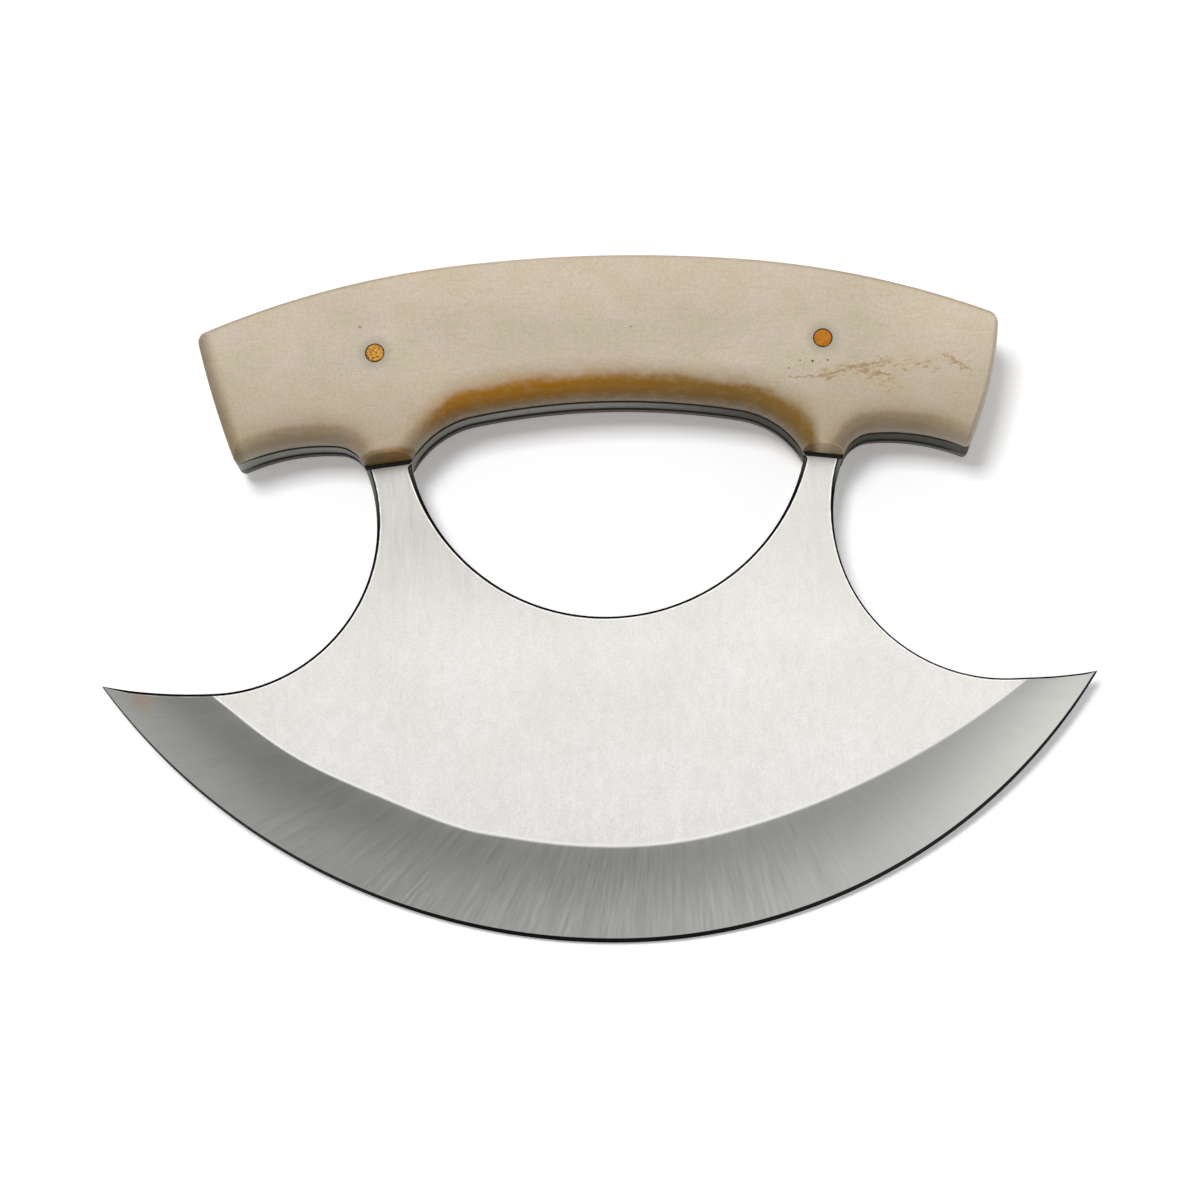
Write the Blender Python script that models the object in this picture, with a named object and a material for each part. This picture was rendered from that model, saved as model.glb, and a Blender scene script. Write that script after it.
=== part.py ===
"""Ulu knife: a steel plate that is blade, legs and full tang in one, two bone scales glued on either side
of the tang, and two brass pins through all of it.

Everything is drawn in the knife's own plane: u runs to the right, v from the cutting edge up to the
handle, and w out of the front face, with w = 0 in the middle of the plate. v = 0 is the lowest point of
the cutting edge and u = 0 is the handle's centre line. At the end the knife is laid down as it lies on a
table, on its rear grind line and on the neck ends of its rear scale.

Run it with: blender --background --python part.py
"""

from collections import namedtuple

import bmesh
import bpy
import numpy as np

# Plate and blade, all sizes in metres
PLATE_THICKNESS = 0.0045
LEFT_EDGE_RADIUS = 0.1076
RIGHT_EDGE_RADIUS = 0.0932
EDGE_SHIFT = 0.0028
LEFT_BACK_RADIUS = 0.0880
RIGHT_BACK_RADIUS = 0.0850
EASED_EDGE = 0.00025

# Grinding of the blade, the same on both faces: the grind line is an arc in the middle that bends into
# a flatter one on either side
GRIND_HEIGHT = 0.01545
LEFT_GRIND_RADIUS = 0.0950
LEFT_GRIND_BEND = 0.0280
LEFT_OUTER_GRIND_RADIUS = 0.1100
RIGHT_GRIND_RADIUS = 0.0700
RIGHT_GRIND_BEND = 0.0160
RIGHT_OUTER_GRIND_RADIUS = 0.1300
SHARPENING_WIDTH = 0.0006
THICKNESS_BEHIND_EDGE = 0.0004
EDGE_LAND = 0.00004

# Round notches between the blade's shoulders and the handle's feet
LEFT_NOTCH_RADIUS = 0.0278
RIGHT_NOTCH_RADIUS = 0.0281
LEFT_NOTCH_ACROSS = 0.0657
RIGHT_NOTCH_ACROSS = 0.0668
NOTCH_HEIGHT = 0.07025
NOTCH_TOP_RADIUS = 0.0055

# Handle outline, which tang and scales share: the arches under its feet rise above the notches'
# centres, and its top above the arches
ARCH_RISE = 0.01415
ARCH_RADIUS = 0.0340
ARCH_ACROSS = 0.0475
HANDLE_RISE = 0.0312
CROWN_RADIUS = 0.2400
CROWN_HALF_WIDTH = 0.0250
CROWN_END_RADIUS = 0.1500
LEFT_HEAD_REACH = 0.0679
RIGHT_HEAD_REACH = 0.0672
LEFT_END_BULGE = 0.0004
RIGHT_END_BULGE = 0.0011
LEFT_HEAD_CORNER = 0.0012
RIGHT_HEAD_CORNER = 0.0022
FOOT_HALF_WIDTH = 0.0612
FOOT_CORNER = 0.0009

# Finger opening, a D with its straight side under the handle: the centre of its bowl lies above the
# notches' centres, and the grip's highest point above that
OPENING_RISE = 0.01765
GRIP_RISE = 0.0031
GRIP_RADIUS = 0.1220
GRIP_END_RADIUS = 0.0155
GRIP_END_ACROSS = 0.0195
OPENING_RADIUS = 0.03385
OPENING_SHIFT = 0.0010
OPENING_CORNER = 0.0025

# Scales and their glue
SCALE_THICKNESS = 0.0055
GRIP_ROUNDING = 0.0026
LEFT_END_ROUNDING = 0.0020
RIGHT_END_ROUNDING = 0.0010
CROWN_ROUNDING = 0.0008
NECK_ROUNDING = 0.0005
ROUNDING_DEPTH = 0.0045
NECK_RISE = 0.01065
NECK_SLOPE = 0.12
GLUE_THICKNESS = 0.0002
GLUE_INSET = 0.0003
FILM_CLEARANCE = 0.00001

# Pins
PIN_DIAMETER = 0.003175
PIN_CLEARANCE = 0.00003
PIN_HALF_SPACING = 0.0376
LEFT_PIN_HEIGHT_SHARE = 0.465
RIGHT_PIN_HEIGHT_SHARE = 0.487

# How finely curves are cut into straight pieces, and how far cutters run past the metal
LONG_ARC_STEPS = 48
ARC_STEPS = 12
CORNER_STEPS = 6
ROUNDING_STEPS = 4
PIN_SIDES = 32
SMALLEST_CORNER = 0.00005
CUTTER_OVERRUN = 0.003
CUTTER_OVERRUN_ANGLE = np.radians(1.5)
SMOOTH_ANGLE = np.radians(25)

HALF_PLATE = PLATE_THICKNESS / 2
ARCH_TOP = NOTCH_HEIGHT + ARCH_RISE
HANDLE_TOP = ARCH_TOP + HANDLE_RISE
OPENING_HEIGHT = NOTCH_HEIGHT + OPENING_RISE
GRIP_TOP = OPENING_HEIGHT + GRIP_RISE
NECK_HEIGHT = NOTCH_HEIGHT + NECK_RISE
SCALE_SEAT = HALF_PLATE + GLUE_THICKNESS + 2 * FILM_CLEARANCE
SCALE_FACE = SCALE_SEAT + SCALE_THICKNESS
LEFT, RIGHT = -1, 1


def point(u, v):
    return np.array([u, v])


def touch(centre, radius, other):
    """The point of a circle that lies in the direction of another point."""
    away = other - centre
    return centre + away * radius / np.hypot(*away)


def meeting(first, first_radius, second, second_radius, near):
    """Where two circles cross, on the side of a nearby point."""
    away = second - first
    span = np.hypot(*away)
    along = (span**2 + first_radius**2 - second_radius**2) / (2 * span)
    across = np.sqrt(max(first_radius**2 - along**2, 0))
    ahead = away / span
    side = point(-ahead[1], ahead[0])
    if np.dot(near - first, side) < 0:
        side = -side
    return first + ahead * along + side * across


def line_meets_circle(start, direction, centre, radius, near):
    """Where a straight line crosses a circle, whichever crossing is nearer to a given point."""
    ahead = direction / np.hypot(*direction)
    foot = start + ahead * np.dot(centre - start, ahead)
    reach = np.sqrt(max(radius**2 - np.sum((foot - centre) ** 2), 0))
    crossings = [foot - ahead * reach, foot + ahead * reach]
    return min(crossings, key=lambda crossing: np.hypot(*(crossing - near)))


def arc(centre, radius, start, end, turn, steps):
    """Points of an arc from one direction to another: turn is 1 anticlockwise and -1 clockwise."""
    first = np.arctan2(*(start - centre)[::-1])
    last = np.arctan2(*(end - centre)[::-1])
    sweep = (turn * (last - first)) % (2 * np.pi)
    angles = first + turn * np.linspace(0, sweep, steps + 1)
    return centre + radius * np.stack([np.cos(angles), np.sin(angles)], axis=1)


def joined(*runs):
    """Runs of points one after the other, without the repeated point where two runs meet."""
    kept = [run[:-1] for run in runs[:-1]] + [runs[-1]]
    return np.concatenate(kept)


def mirrored(points):
    return points[::-1] * (-1, 1)


def pick(side, left, right):
    """The size that holds for one side. Every side is drawn on the right and mirrored if it is the
    left one."""
    return right if side == RIGHT else left


def crown():
    """Centres of the handle's long top arc and of the tighter arc that ends it on the right."""
    middle = point(0, HANDLE_TOP - CROWN_RADIUS)
    bend = np.arcsin(CROWN_HALF_WIDTH / CROWN_RADIUS)
    return middle, middle + (CROWN_RADIUS - CROWN_END_RADIUS) * point(np.sin(bend), np.cos(bend))


def arch():
    """Centre of the shallow arch under the handle's foot, and the point where the arch peaks."""
    peak = point(ARCH_ACROSS, ARCH_TOP)
    return peak - point(0, ARCH_RADIUS), peak


def handle_end(side):
    """Centre and radius of the handle's bulging end, drawn through its foot and its head."""
    under, _ = arch()
    shoulder = crown()[1]
    reach = pick(side, LEFT_HEAD_REACH, RIGHT_HEAD_REACH)
    bulge = pick(side, LEFT_END_BULGE, RIGHT_END_BULGE)
    foot = point(FOOT_HALF_WIDTH, under[1] + np.sqrt(ARCH_RADIUS**2 - (FOOT_HALF_WIDTH - under[0]) ** 2))
    head = point(reach, shoulder[1] + np.sqrt(CROWN_END_RADIUS**2 - (reach - shoulder[0]) ** 2))
    chord = head - foot
    length = np.hypot(*chord)
    radius = (length**2 / 4 + bulge**2) / (2 * bulge)
    outwards = point(chord[1], -chord[0]) / length
    return (foot + head) / 2 - outwards * (radius - bulge), radius, foot, head


def notch(side):
    """Centre and radius of the round notch."""
    centre = point(pick(side, LEFT_NOTCH_ACROSS, RIGHT_NOTCH_ACROSS), NOTCH_HEIGHT)
    return centre, pick(side, LEFT_NOTCH_RADIUS, RIGHT_NOTCH_RADIUS)


def notch_top(side):
    """Centre of the small arc that joins the notch to the arch under the foot."""
    under, peak = arch()
    centre, radius = notch(side)
    return meeting(centre, radius - NOTCH_TOP_RADIUS, under, ARCH_RADIUS - NOTCH_TOP_RADIUS, peak)


Insets = namedtuple("Insets", "grip left_end right_end crown neck")


def even_insets(inset):
    """The same inset all round the handle."""
    return Insets(inset, inset, inset, inset, inset)


def handle_side(side, insets, start):
    """One side of the handle's outline, from a point on the notch's top arc, along the arch, round the
    foot and up the end to the crown. insets say how far each part of it lies inside the handle."""
    under, _ = arch()
    shoulder = crown()[1]
    end, end_radius, foot, head = handle_end(side)
    top = notch_top(side)
    end_inset = pick(side, insets.left_end, insets.right_end)
    head_corner = pick(side, LEFT_HEAD_CORNER, RIGHT_HEAD_CORNER)
    foot_corner = max(FOOT_CORNER - min(insets.grip, end_inset), SMALLEST_CORNER)
    head_corner = max(head_corner - min(end_inset, insets.crown), SMALLEST_CORNER)
    arch_radius = ARCH_RADIUS + insets.grip
    end_radius = end_radius - end_inset
    crown_radius = CROWN_END_RADIUS - insets.crown
    foot_centre = meeting(end, end_radius - foot_corner, under, arch_radius + foot_corner, foot)
    head_centre = meeting(end, end_radius - head_corner, shoulder, crown_radius - head_corner, head)
    arch_start = touch(under, arch_radius, top)
    arch_end = touch(under, arch_radius, foot_centre)
    end_start = touch(end, end_radius, foot_centre)
    end_stop = touch(end, end_radius, head_centre)
    crown_start = touch(shoulder, crown_radius, head_centre)
    return joined(
        arc(top, NOTCH_TOP_RADIUS + insets.grip, start, arch_start, -1, CORNER_STEPS),
        arc(under, arch_radius, arch_start, arch_end, -1, ARC_STEPS),
        arc(foot_centre, foot_corner, arch_end, end_start, 1, CORNER_STEPS),
        arc(end, end_radius, end_start, end_stop, 1, ARC_STEPS),
        arc(head_centre, head_corner, end_stop, crown_start, 1, CORNER_STEPS),
    )


def crown_line(inset, start, end):
    """The crown from right to left: its end arc, its long middle arc and its other end arc."""
    middle, shoulder = crown()
    radius, end_radius = CROWN_RADIUS - inset, CROWN_END_RADIUS - inset
    bend = touch(middle, radius, shoulder)
    return joined(
        arc(shoulder, end_radius, start, bend, 1, ARC_STEPS),
        arc(middle, radius, bend, bend * (-1, 1), 1, ARC_STEPS),
        arc(shoulder * (-1, 1), end_radius, bend * (-1, 1), end, 1, ARC_STEPS),
    )


def opening_centres(side):
    """Centres of the finger opening's bowl, of its long grip arc, of the arc that ends the grip on one
    side, and of the corner where that arc turns into the bowl."""
    bowl = point(side * OPENING_SHIFT, OPENING_HEIGHT)
    grip = point(side * OPENING_SHIFT, GRIP_TOP - GRIP_RADIUS)
    rise = np.sqrt((GRIP_RADIUS - GRIP_END_RADIUS) ** 2 - GRIP_END_ACROSS**2)
    grip_end = grip + point(GRIP_END_ACROSS, rise)
    beside = bowl + point(OPENING_RADIUS, 0)
    corner = meeting(bowl, OPENING_RADIUS - OPENING_CORNER, grip_end, GRIP_END_RADIUS - OPENING_CORNER, beside)
    return bowl, grip, grip_end, corner


def grip_side(side, inset, start):
    """The grip's end arc on one side, from a given point on it to where the long grip arc begins."""
    _, grip, grip_end, _ = opening_centres(side)
    stop = touch(grip, GRIP_RADIUS + inset, grip_end)
    return arc(grip_end, GRIP_END_RADIUS + inset, start, stop, 1, ARC_STEPS)


def grip_line(inset, start, end):
    grip = opening_centres(RIGHT)[1]
    return arc(grip, GRIP_RADIUS + inset, start, end, 1, LONG_ARC_STEPS // 2)


def opening_outline(inset):
    """The finger opening, anticlockwise from the left end of its bowl. inset widens it."""
    bowl = opening_centres(RIGHT)[0]
    bowl_ends, corners, sides = {}, {}, {}
    for side in (LEFT, RIGHT):
        centre, _, grip_end, corner = opening_centres(side)
        bowl_ends[side] = touch(centre, OPENING_RADIUS + inset, corner)
        corner_end = touch(grip_end, GRIP_END_RADIUS + inset, corner)
        corners[side] = arc(corner, OPENING_CORNER + inset, bowl_ends[side], corner_end, 1, CORNER_STEPS)
        sides[side] = grip_side(side, inset, corner_end)
    ring = joined(
        arc(bowl, OPENING_RADIUS + inset, bowl_ends[LEFT] * (-1, 1), bowl_ends[RIGHT], 1, LONG_ARC_STEPS),
        corners[RIGHT],
        sides[RIGHT],
        grip_line(inset, sides[RIGHT][-1], sides[LEFT][-1] * (-1, 1)),
        mirrored(sides[LEFT]),
        mirrored(corners[LEFT]),
    )
    return ring[:-1]


def edge_centre(side):
    radius = pick(side, LEFT_EDGE_RADIUS, RIGHT_EDGE_RADIUS)
    return point(side * EDGE_SHIFT, radius), radius


def back(side, inset):
    """Centre and radius of the wider arc in which the blade's back runs on from the notch's lowest
    point, that point, and the tip where the arc meets the cutting edge."""
    hollow, hollow_radius = notch(side)
    edge, edge_radius = edge_centre(side)
    radius = pick(side, LEFT_BACK_RADIUS, RIGHT_BACK_RADIUS) + inset
    shoulder = hollow - point(0, hollow_radius + inset)
    centre = shoulder + point(0, radius)
    tip = meeting(edge, edge_radius - inset, centre, radius, shoulder)
    return centre, radius, shoulder, tip


def blade_side(side, inset):
    """One side of the plate: from the blade's tip along its back, round the notch, then the handle."""
    hollow, hollow_radius = notch(side)
    centre, radius, shoulder, tip = back(side, inset)
    top_start = touch(hollow, hollow_radius + inset, notch_top(side))
    return joined(
        arc(centre, radius, tip, shoulder, -1, ARC_STEPS),
        arc(hollow, hollow_radius + inset, shoulder, top_start, -1, LONG_ARC_STEPS // 2),
        handle_side(side, even_insets(inset), top_start),
    )


def half_edge(side, inset, tip):
    """The cutting edge from its lowest point to one tip."""
    edge, radius = edge_centre(side)
    return arc(edge, radius - inset, edge - point(0, radius), tip, 1, LONG_ARC_STEPS // 2)


def plate_outline(inset):
    """The whole plate, anticlockwise from the left tip along the cutting edge."""
    right, left = blade_side(RIGHT, inset), blade_side(LEFT, inset)
    ring = joined(
        mirrored(half_edge(LEFT, inset, left[0])),
        half_edge(RIGHT, inset, right[0]),
        right,
        crown_line(inset, right[-1], left[-1] * (-1, 1)),
        mirrored(left),
    )
    return ring[:-1]


def scale_outline(insets):
    """A scale: the handle's outline, cut off across both necks."""
    outer, inner = {}, {}
    for side in (LEFT, RIGHT):
        hollow, radius = notch(side)
        neck = point(hollow[0] - radius, NECK_HEIGHT + insets.neck)
        across = point(-1, NECK_SLOPE)
        start = line_meets_circle(neck, across, notch_top(side), NOTCH_TOP_RADIUS + insets.grip, neck)
        outer[side] = handle_side(side, insets, start)
        grip_end = opening_centres(side)[2]
        end = line_meets_circle(neck, across, grip_end, GRIP_END_RADIUS + insets.grip, neck)
        inner[side] = grip_side(side, insets.grip, end)
    crown_part = crown_line(insets.crown, outer[RIGHT][-1], outer[LEFT][-1] * (-1, 1))
    grip_part = grip_line(insets.grip, inner[RIGHT][-1], inner[LEFT][-1] * (-1, 1))
    under = joined(inner[RIGHT], grip_part, mirrored(inner[LEFT]))
    return np.concatenate([joined(outer[RIGHT], crown_part, mirrored(outer[LEFT])), under[::-1]])


def evenly(points, steps):
    """The same line with its points spread evenly along it."""
    runs = np.hypot(*np.diff(points, axis=0).T)
    along = np.concatenate([[0], np.cumsum(runs)])
    places = np.linspace(0, along[-1], steps + 1)
    return np.stack([np.interp(places, along, points[:, 0]), np.interp(places, along, points[:, 1])], axis=1)


def past(centre, end):
    """A point turned on round a centre, by the angle that cutters run on past the metal."""
    ahead = end - centre
    turn = CUTTER_OVERRUN_ANGLE
    return centre + point(
        ahead[0] * np.cos(turn) - ahead[1] * np.sin(turn), ahead[0] * np.sin(turn) + ahead[1] * np.cos(turn)
    )


def bevel_lines(side):
    """The cutting edge and the grind line of one side, from the middle to just past the blade's back,
    with as many points each, so that straight lines between them make the bevel."""
    back_centre, back_radius, shoulder, tip = back(side, 0)
    radius = pick(side, LEFT_GRIND_RADIUS, RIGHT_GRIND_RADIUS)
    outer_radius = pick(side, LEFT_OUTER_GRIND_RADIUS, RIGHT_OUTER_GRIND_RADIUS)
    turn = np.arcsin(pick(side, LEFT_GRIND_BEND, RIGHT_GRIND_BEND) / radius)
    middle = point(side * EDGE_SHIFT, GRIND_HEIGHT + radius)
    lowest = middle - point(0, radius)
    bend = middle + radius * point(np.sin(turn), -np.cos(turn))
    outer = touch(bend, outer_radius, middle)
    end = meeting(outer, outer_radius, back_centre, back_radius, shoulder)
    grind_line = joined(
        arc(middle, radius, lowest, bend, 1, ARC_STEPS),
        arc(outer, outer_radius, bend, past(outer, end), 1, LONG_ARC_STEPS // 2),
    )
    edge_line = half_edge(side, 0, past(edge_centre(side)[0], tip))
    return evenly(edge_line, LONG_ARC_STEPS // 2), evenly(grind_line, LONG_ARC_STEPS // 2)


def add_ring(shape, outline, height):
    return [shape.verts.new((u, v, height)) for u, v in outline]


def add_wall(shape, lower, upper):
    """Quads between two rings that have the same number of points."""
    for place, corner in enumerate(lower):
        following = (place + 1) % len(lower)
        shape.faces.new((corner, lower[following], upper[following], upper[place]))


def add_object(name, shape, material, pose):
    """Makes an object of a bmesh whose faces are first turned outwards. Without a material it is a
    cutter, whose faces stay flat shaded so that what it cuts has crisp edges."""
    bmesh.ops.recalc_face_normals(shape, faces=shape.faces)
    mesh = bpy.data.meshes.new(name)
    shape.to_mesh(mesh)
    shape.free()
    part = bpy.data.objects.new(name, mesh)
    bpy.context.scene.collection.objects.link(part)
    part.parent = pose
    if material:
        mesh.materials.append(material)
        mesh.shade_smooth()
        mesh.set_sharp_from_angle(angle=SMOOTH_ANGLE)
    else:
        part.hide_render = True
        part.display_type = "WIRE"
    return part


def stacked(outlines, heights):
    """A solid of rings one above the other, closed by a flat face at each end."""
    shape = bmesh.new()
    rings = [add_ring(shape, outline, height) for outline, height in zip(outlines, heights, strict=True)]
    for lower, upper in zip(rings, rings[1:], strict=False):
        add_wall(shape, lower, upper)
    caps = [shape.faces.new(rings[0]), shape.faces.new(rings[-1])]
    shape.normal_update()
    bmesh.ops.triangulate(shape, faces=caps)
    return shape


def cut(part, cutters):
    for cutter in cutters:
        boolean = part.modifiers.new("cut_" + cutter.name, "BOOLEAN")
        boolean.operation = "DIFFERENCE"
        boolean.solver = "EXACT"
        boolean.object = cutter


def make_material(name, colour, metallic, roughness):
    material = bpy.data.materials.new(name)
    material.use_nodes = True
    shader = material.node_tree.nodes["Principled BSDF"]
    shader.inputs["Base Color"].default_value = (*colour, 1)
    shader.inputs["Metallic"].default_value = metallic
    shader.inputs["Roughness"].default_value = roughness
    material.diffuse_color = (*colour, 1)
    return material


def make_slab(steel, pose):
    """The plate before grinding: its outline and finger opening with all edges eased."""
    shape = bmesh.new()
    wall = HALF_PLATE - EASED_EDGE
    levels = [(EASED_EDGE, -HALF_PLATE), (0, -wall), (0, wall), (EASED_EDGE, HALF_PLATE)]
    outer = [add_ring(shape, plate_outline(inset), height) for inset, height in levels]
    inner = [add_ring(shape, opening_outline(inset), height) for inset, height in levels]
    for rings in (outer, inner):
        for lower, upper in zip(rings, rings[1:], strict=False):
            add_wall(shape, lower, upper)
    for level in (0, -1):
        rim = {edge for ring in (outer[level], inner[level]) for edge in ring_edges(shape, ring)}
        bmesh.ops.triangle_fill(shape, use_beauty=True, edges=list(rim))
    return add_object("blade_plate", shape, steel, pose)


def ring_edges(shape, ring):
    return [shape.edges.get((corner, ring[place - 1])) for place, corner in enumerate(ring)]


def grinding_profile(edge, grind):
    """What the grinder takes off along one line across the bevel, as (u, v, w) points: outside the
    edge, at the edge, behind the sharpening bevel, past the grind line and outside again."""
    ahead = (edge - grind) / np.hypot(*(edge - grind))
    behind = edge - ahead * SHARPENING_WIDTH
    slope = (HALF_PLATE - THICKNESS_BEHIND_EDGE / 2) / np.hypot(*(behind - grind))
    outside = edge + ahead * CUTTER_OVERRUN
    above = HALF_PLATE + CUTTER_OVERRUN
    return np.array(
        [
            (*outside, EDGE_LAND / 2),
            (*edge, EDGE_LAND / 2),
            (*behind, THICKNESS_BEHIND_EDGE / 2),
            (*(grind - ahead * CUTTER_OVERRUN / slope), above),
            (*outside, above),
        ]
    )


def make_grinding_cutter(name, face, pose):
    """The wide bevel between grind line and cutting edge, and the narrow sharpening bevel along the
    edge, from the left tip to the right one."""
    halves = {}
    for side in (LEFT, RIGHT):
        lines = zip(*bevel_lines(side), strict=True)
        halves[side] = [grinding_profile(edge, grind) * (side, 1, face) for edge, grind in lines]
    profiles = halves[LEFT][:0:-1] + halves[RIGHT]
    shape = bmesh.new()
    rings = [[shape.verts.new(corner) for corner in profile] for profile in profiles]
    for ring, following in zip(rings, rings[1:], strict=False):
        add_wall(shape, ring, following)
    shape.faces.new(rings[0])
    shape.faces.new(rings[-1])
    return add_object(name, shape, None, pose)


def make_scale(name, face, bone, pose):
    """A bone scale: short straight walls up from the tang, then a round and a flat face. The round is a
    quarter of an ellipse, wide where fingers grip, narrower at the ends and narrowest on the crown."""
    turns = np.linspace(0, np.pi / 2, ROUNDING_STEPS + 1)
    rounding = [(0, SCALE_SEAT)] + [
        (1 - np.cos(turn), SCALE_FACE - ROUNDING_DEPTH * (1 - np.sin(turn))) for turn in turns
    ]
    widths = (GRIP_ROUNDING, LEFT_END_ROUNDING, RIGHT_END_ROUNDING, CROWN_ROUNDING, NECK_ROUNDING)
    outlines = [scale_outline(Insets(*(share * width for width in widths))) for share, _ in rounding]
    shape = stacked(outlines, [face * height for _, height in rounding])
    return add_object(name, shape, bone, pose)


def make_glue_bed(name, face, glue, pose):
    outline = scale_outline(even_insets(GLUE_INSET))
    lower = HALF_PLATE + FILM_CLEARANCE
    shape = stacked([outline, outline], [face * lower, face * (lower + GLUE_THICKNESS)])
    return add_object(name, shape, glue, pose)


def make_rod(name, side, radius, half_length, material, pose):
    """A round rod through the handle at one of the two pin places, each a share of the way up from the
    arches to the handle's top."""
    shape = bmesh.new()
    bmesh.ops.create_cone(
        shape, cap_ends=True, segments=PIN_SIDES, radius1=radius, radius2=radius, depth=2 * half_length
    )
    share = pick(side, LEFT_PIN_HEIGHT_SHARE, RIGHT_PIN_HEIGHT_SHARE)
    middle = (side * PIN_HALF_SPACING, ARCH_TOP + HANDLE_RISE * share, 0)
    bmesh.ops.translate(shape, vec=middle, verts=shape.verts)
    return add_object(name, shape, material, pose)


def lay_down(parts, pose):
    """Tilts the knife until it rests on its rear grind line and on the necks of the rear scale, and puts
    the origin under the middle of its box."""
    rise = SCALE_FACE - HALF_PLATE
    run = NECK_HEIGHT + NECK_ROUNDING - GRIND_HEIGHT
    pose.rotation_euler = (np.arctan2(rise, run), 0, 0)
    bpy.context.view_layer.update()
    graph = bpy.context.evaluated_depsgraph_get()
    corners = []
    for part in parts:
        evaluated = part.evaluated_get(graph)
        corners += [evaluated.matrix_world @ vertex.co for vertex in evaluated.data.vertices]
    low, high = np.min(corners, axis=0), np.max(corners, axis=0)
    pose.location = (-(low[0] + high[0]) / 2, -(low[1] + high[1]) / 2, -low[2])


def build():
    for item in list(bpy.data.objects):
        bpy.data.objects.remove(item)

    pose = bpy.data.objects.new("lying_pose", None)
    bpy.context.scene.collection.objects.link(pose)

    steel = make_material("brushed_steel", (0.62, 0.61, 0.59), 1, 0.35)
    bone = make_material("bone", (0.62, 0.52, 0.37), 0, 0.45)
    brass = make_material("brass", (0.72, 0.42, 0.12), 1, 0.35)
    glue = make_material("dark_epoxy", (0.02, 0.018, 0.014), 0, 0.5)

    pin_radius = PIN_DIAMETER / 2
    hole_radius = pin_radius + PIN_CLEARANCE
    drill = SCALE_FACE + CUTTER_OVERRUN
    holes = [
        make_rod("left_drill", LEFT, hole_radius, drill, None, pose),
        make_rod("right_drill", RIGHT, hole_radius, drill, None, pose),
    ]
    plate = make_slab(steel, pose)
    grinding = [
        make_grinding_cutter("front_grinding", 1, pose),
        make_grinding_cutter("rear_grinding", -1, pose),
    ]
    cut(plate, grinding + holes)

    layers = [
        make_glue_bed("front_glue_bed", 1, glue, pose),
        make_glue_bed("rear_glue_bed", -1, glue, pose),
        make_scale("front_scale", 1, bone, pose),
        make_scale("rear_scale", -1, bone, pose),
    ]
    for layer in layers:
        cut(layer, holes)

    pins = [
        make_rod("left_pin", LEFT, pin_radius, SCALE_FACE, brass, pose),
        make_rod("right_pin", RIGHT, pin_radius, SCALE_FACE, brass, pose),
    ]
    lay_down([plate, *layers, *pins], pose)


build()
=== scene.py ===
"""The ulu knife lying on a white table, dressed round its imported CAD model.

All lengths are in metres. Every piece is drawn in the knife's own plane, u to the right, v from the
cutting edge up to the handle, w out of the front face with w = 0 in the middle of the plate, and is then
laid down the way the CAD model lies.
"""

from collections import namedtuple

import bmesh
import bpy
import numpy as np
from mathutils import Euler, Matrix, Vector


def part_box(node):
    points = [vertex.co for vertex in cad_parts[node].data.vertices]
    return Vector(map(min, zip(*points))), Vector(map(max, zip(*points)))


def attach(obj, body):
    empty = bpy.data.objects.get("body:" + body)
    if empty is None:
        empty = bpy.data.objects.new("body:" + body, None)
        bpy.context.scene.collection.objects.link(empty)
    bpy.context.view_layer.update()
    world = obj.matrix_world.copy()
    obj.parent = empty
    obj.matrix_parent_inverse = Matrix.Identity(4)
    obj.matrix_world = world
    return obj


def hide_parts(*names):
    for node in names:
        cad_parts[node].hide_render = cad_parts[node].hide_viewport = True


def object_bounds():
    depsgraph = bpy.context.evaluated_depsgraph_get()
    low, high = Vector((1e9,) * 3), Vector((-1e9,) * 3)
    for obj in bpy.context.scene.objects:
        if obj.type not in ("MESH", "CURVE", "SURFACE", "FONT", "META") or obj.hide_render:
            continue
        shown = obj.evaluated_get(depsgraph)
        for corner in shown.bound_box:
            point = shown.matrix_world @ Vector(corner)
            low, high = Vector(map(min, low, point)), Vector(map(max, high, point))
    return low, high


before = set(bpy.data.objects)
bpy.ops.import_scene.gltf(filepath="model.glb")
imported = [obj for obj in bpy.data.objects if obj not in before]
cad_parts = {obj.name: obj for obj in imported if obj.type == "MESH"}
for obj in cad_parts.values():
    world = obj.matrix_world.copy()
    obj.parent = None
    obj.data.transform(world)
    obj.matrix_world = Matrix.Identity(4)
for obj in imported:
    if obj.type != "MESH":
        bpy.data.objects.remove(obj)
cad_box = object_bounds()


# Steel plate
# One sheet of stainless steel cut out as crescent blade, two legs and full tang in one. Its flats are
# brushed up and down, both faces of the blade are ground to a wide bevel and sharpened by a narrow one,
# and every edge that a hand can touch is eased. Under the scales it is ground flush with the bone.

# The two sides, as the sign of u. Where a size differs between them, it is given for each.
LEFT, RIGHT = -1, 1

PLATE_THICKNESS = 0.0045
HALF_PLATE = PLATE_THICKNESS / 2
EDGE_RADIUS = {LEFT: 0.1076, RIGHT: 0.0932}
EDGE_SHIFT = 0.0028
BACK_RADIUS = {LEFT: 0.0880, RIGHT: 0.0850}
EASED_EDGE = {LEFT: 0.00054, RIGHT: 0.00036}
LEG_EASED_EDGE = {LEFT: 0.00100, RIGHT: 0.00095}
OPENING_LOW_EASED_EDGE = 0.00050
OPENING_EASED_EDGE = 0.00075
TANG_EASED_EDGE = 0.00004
EASING_WIDENS_AT = 0.0640
GREY_EASING = 0.00064
GREY_EASING_FADE = 0.0002
EASED_SUPPORTS = np.array([0.00008, 0.00022])
SMALLEST_CORNER = 0.00005

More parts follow.
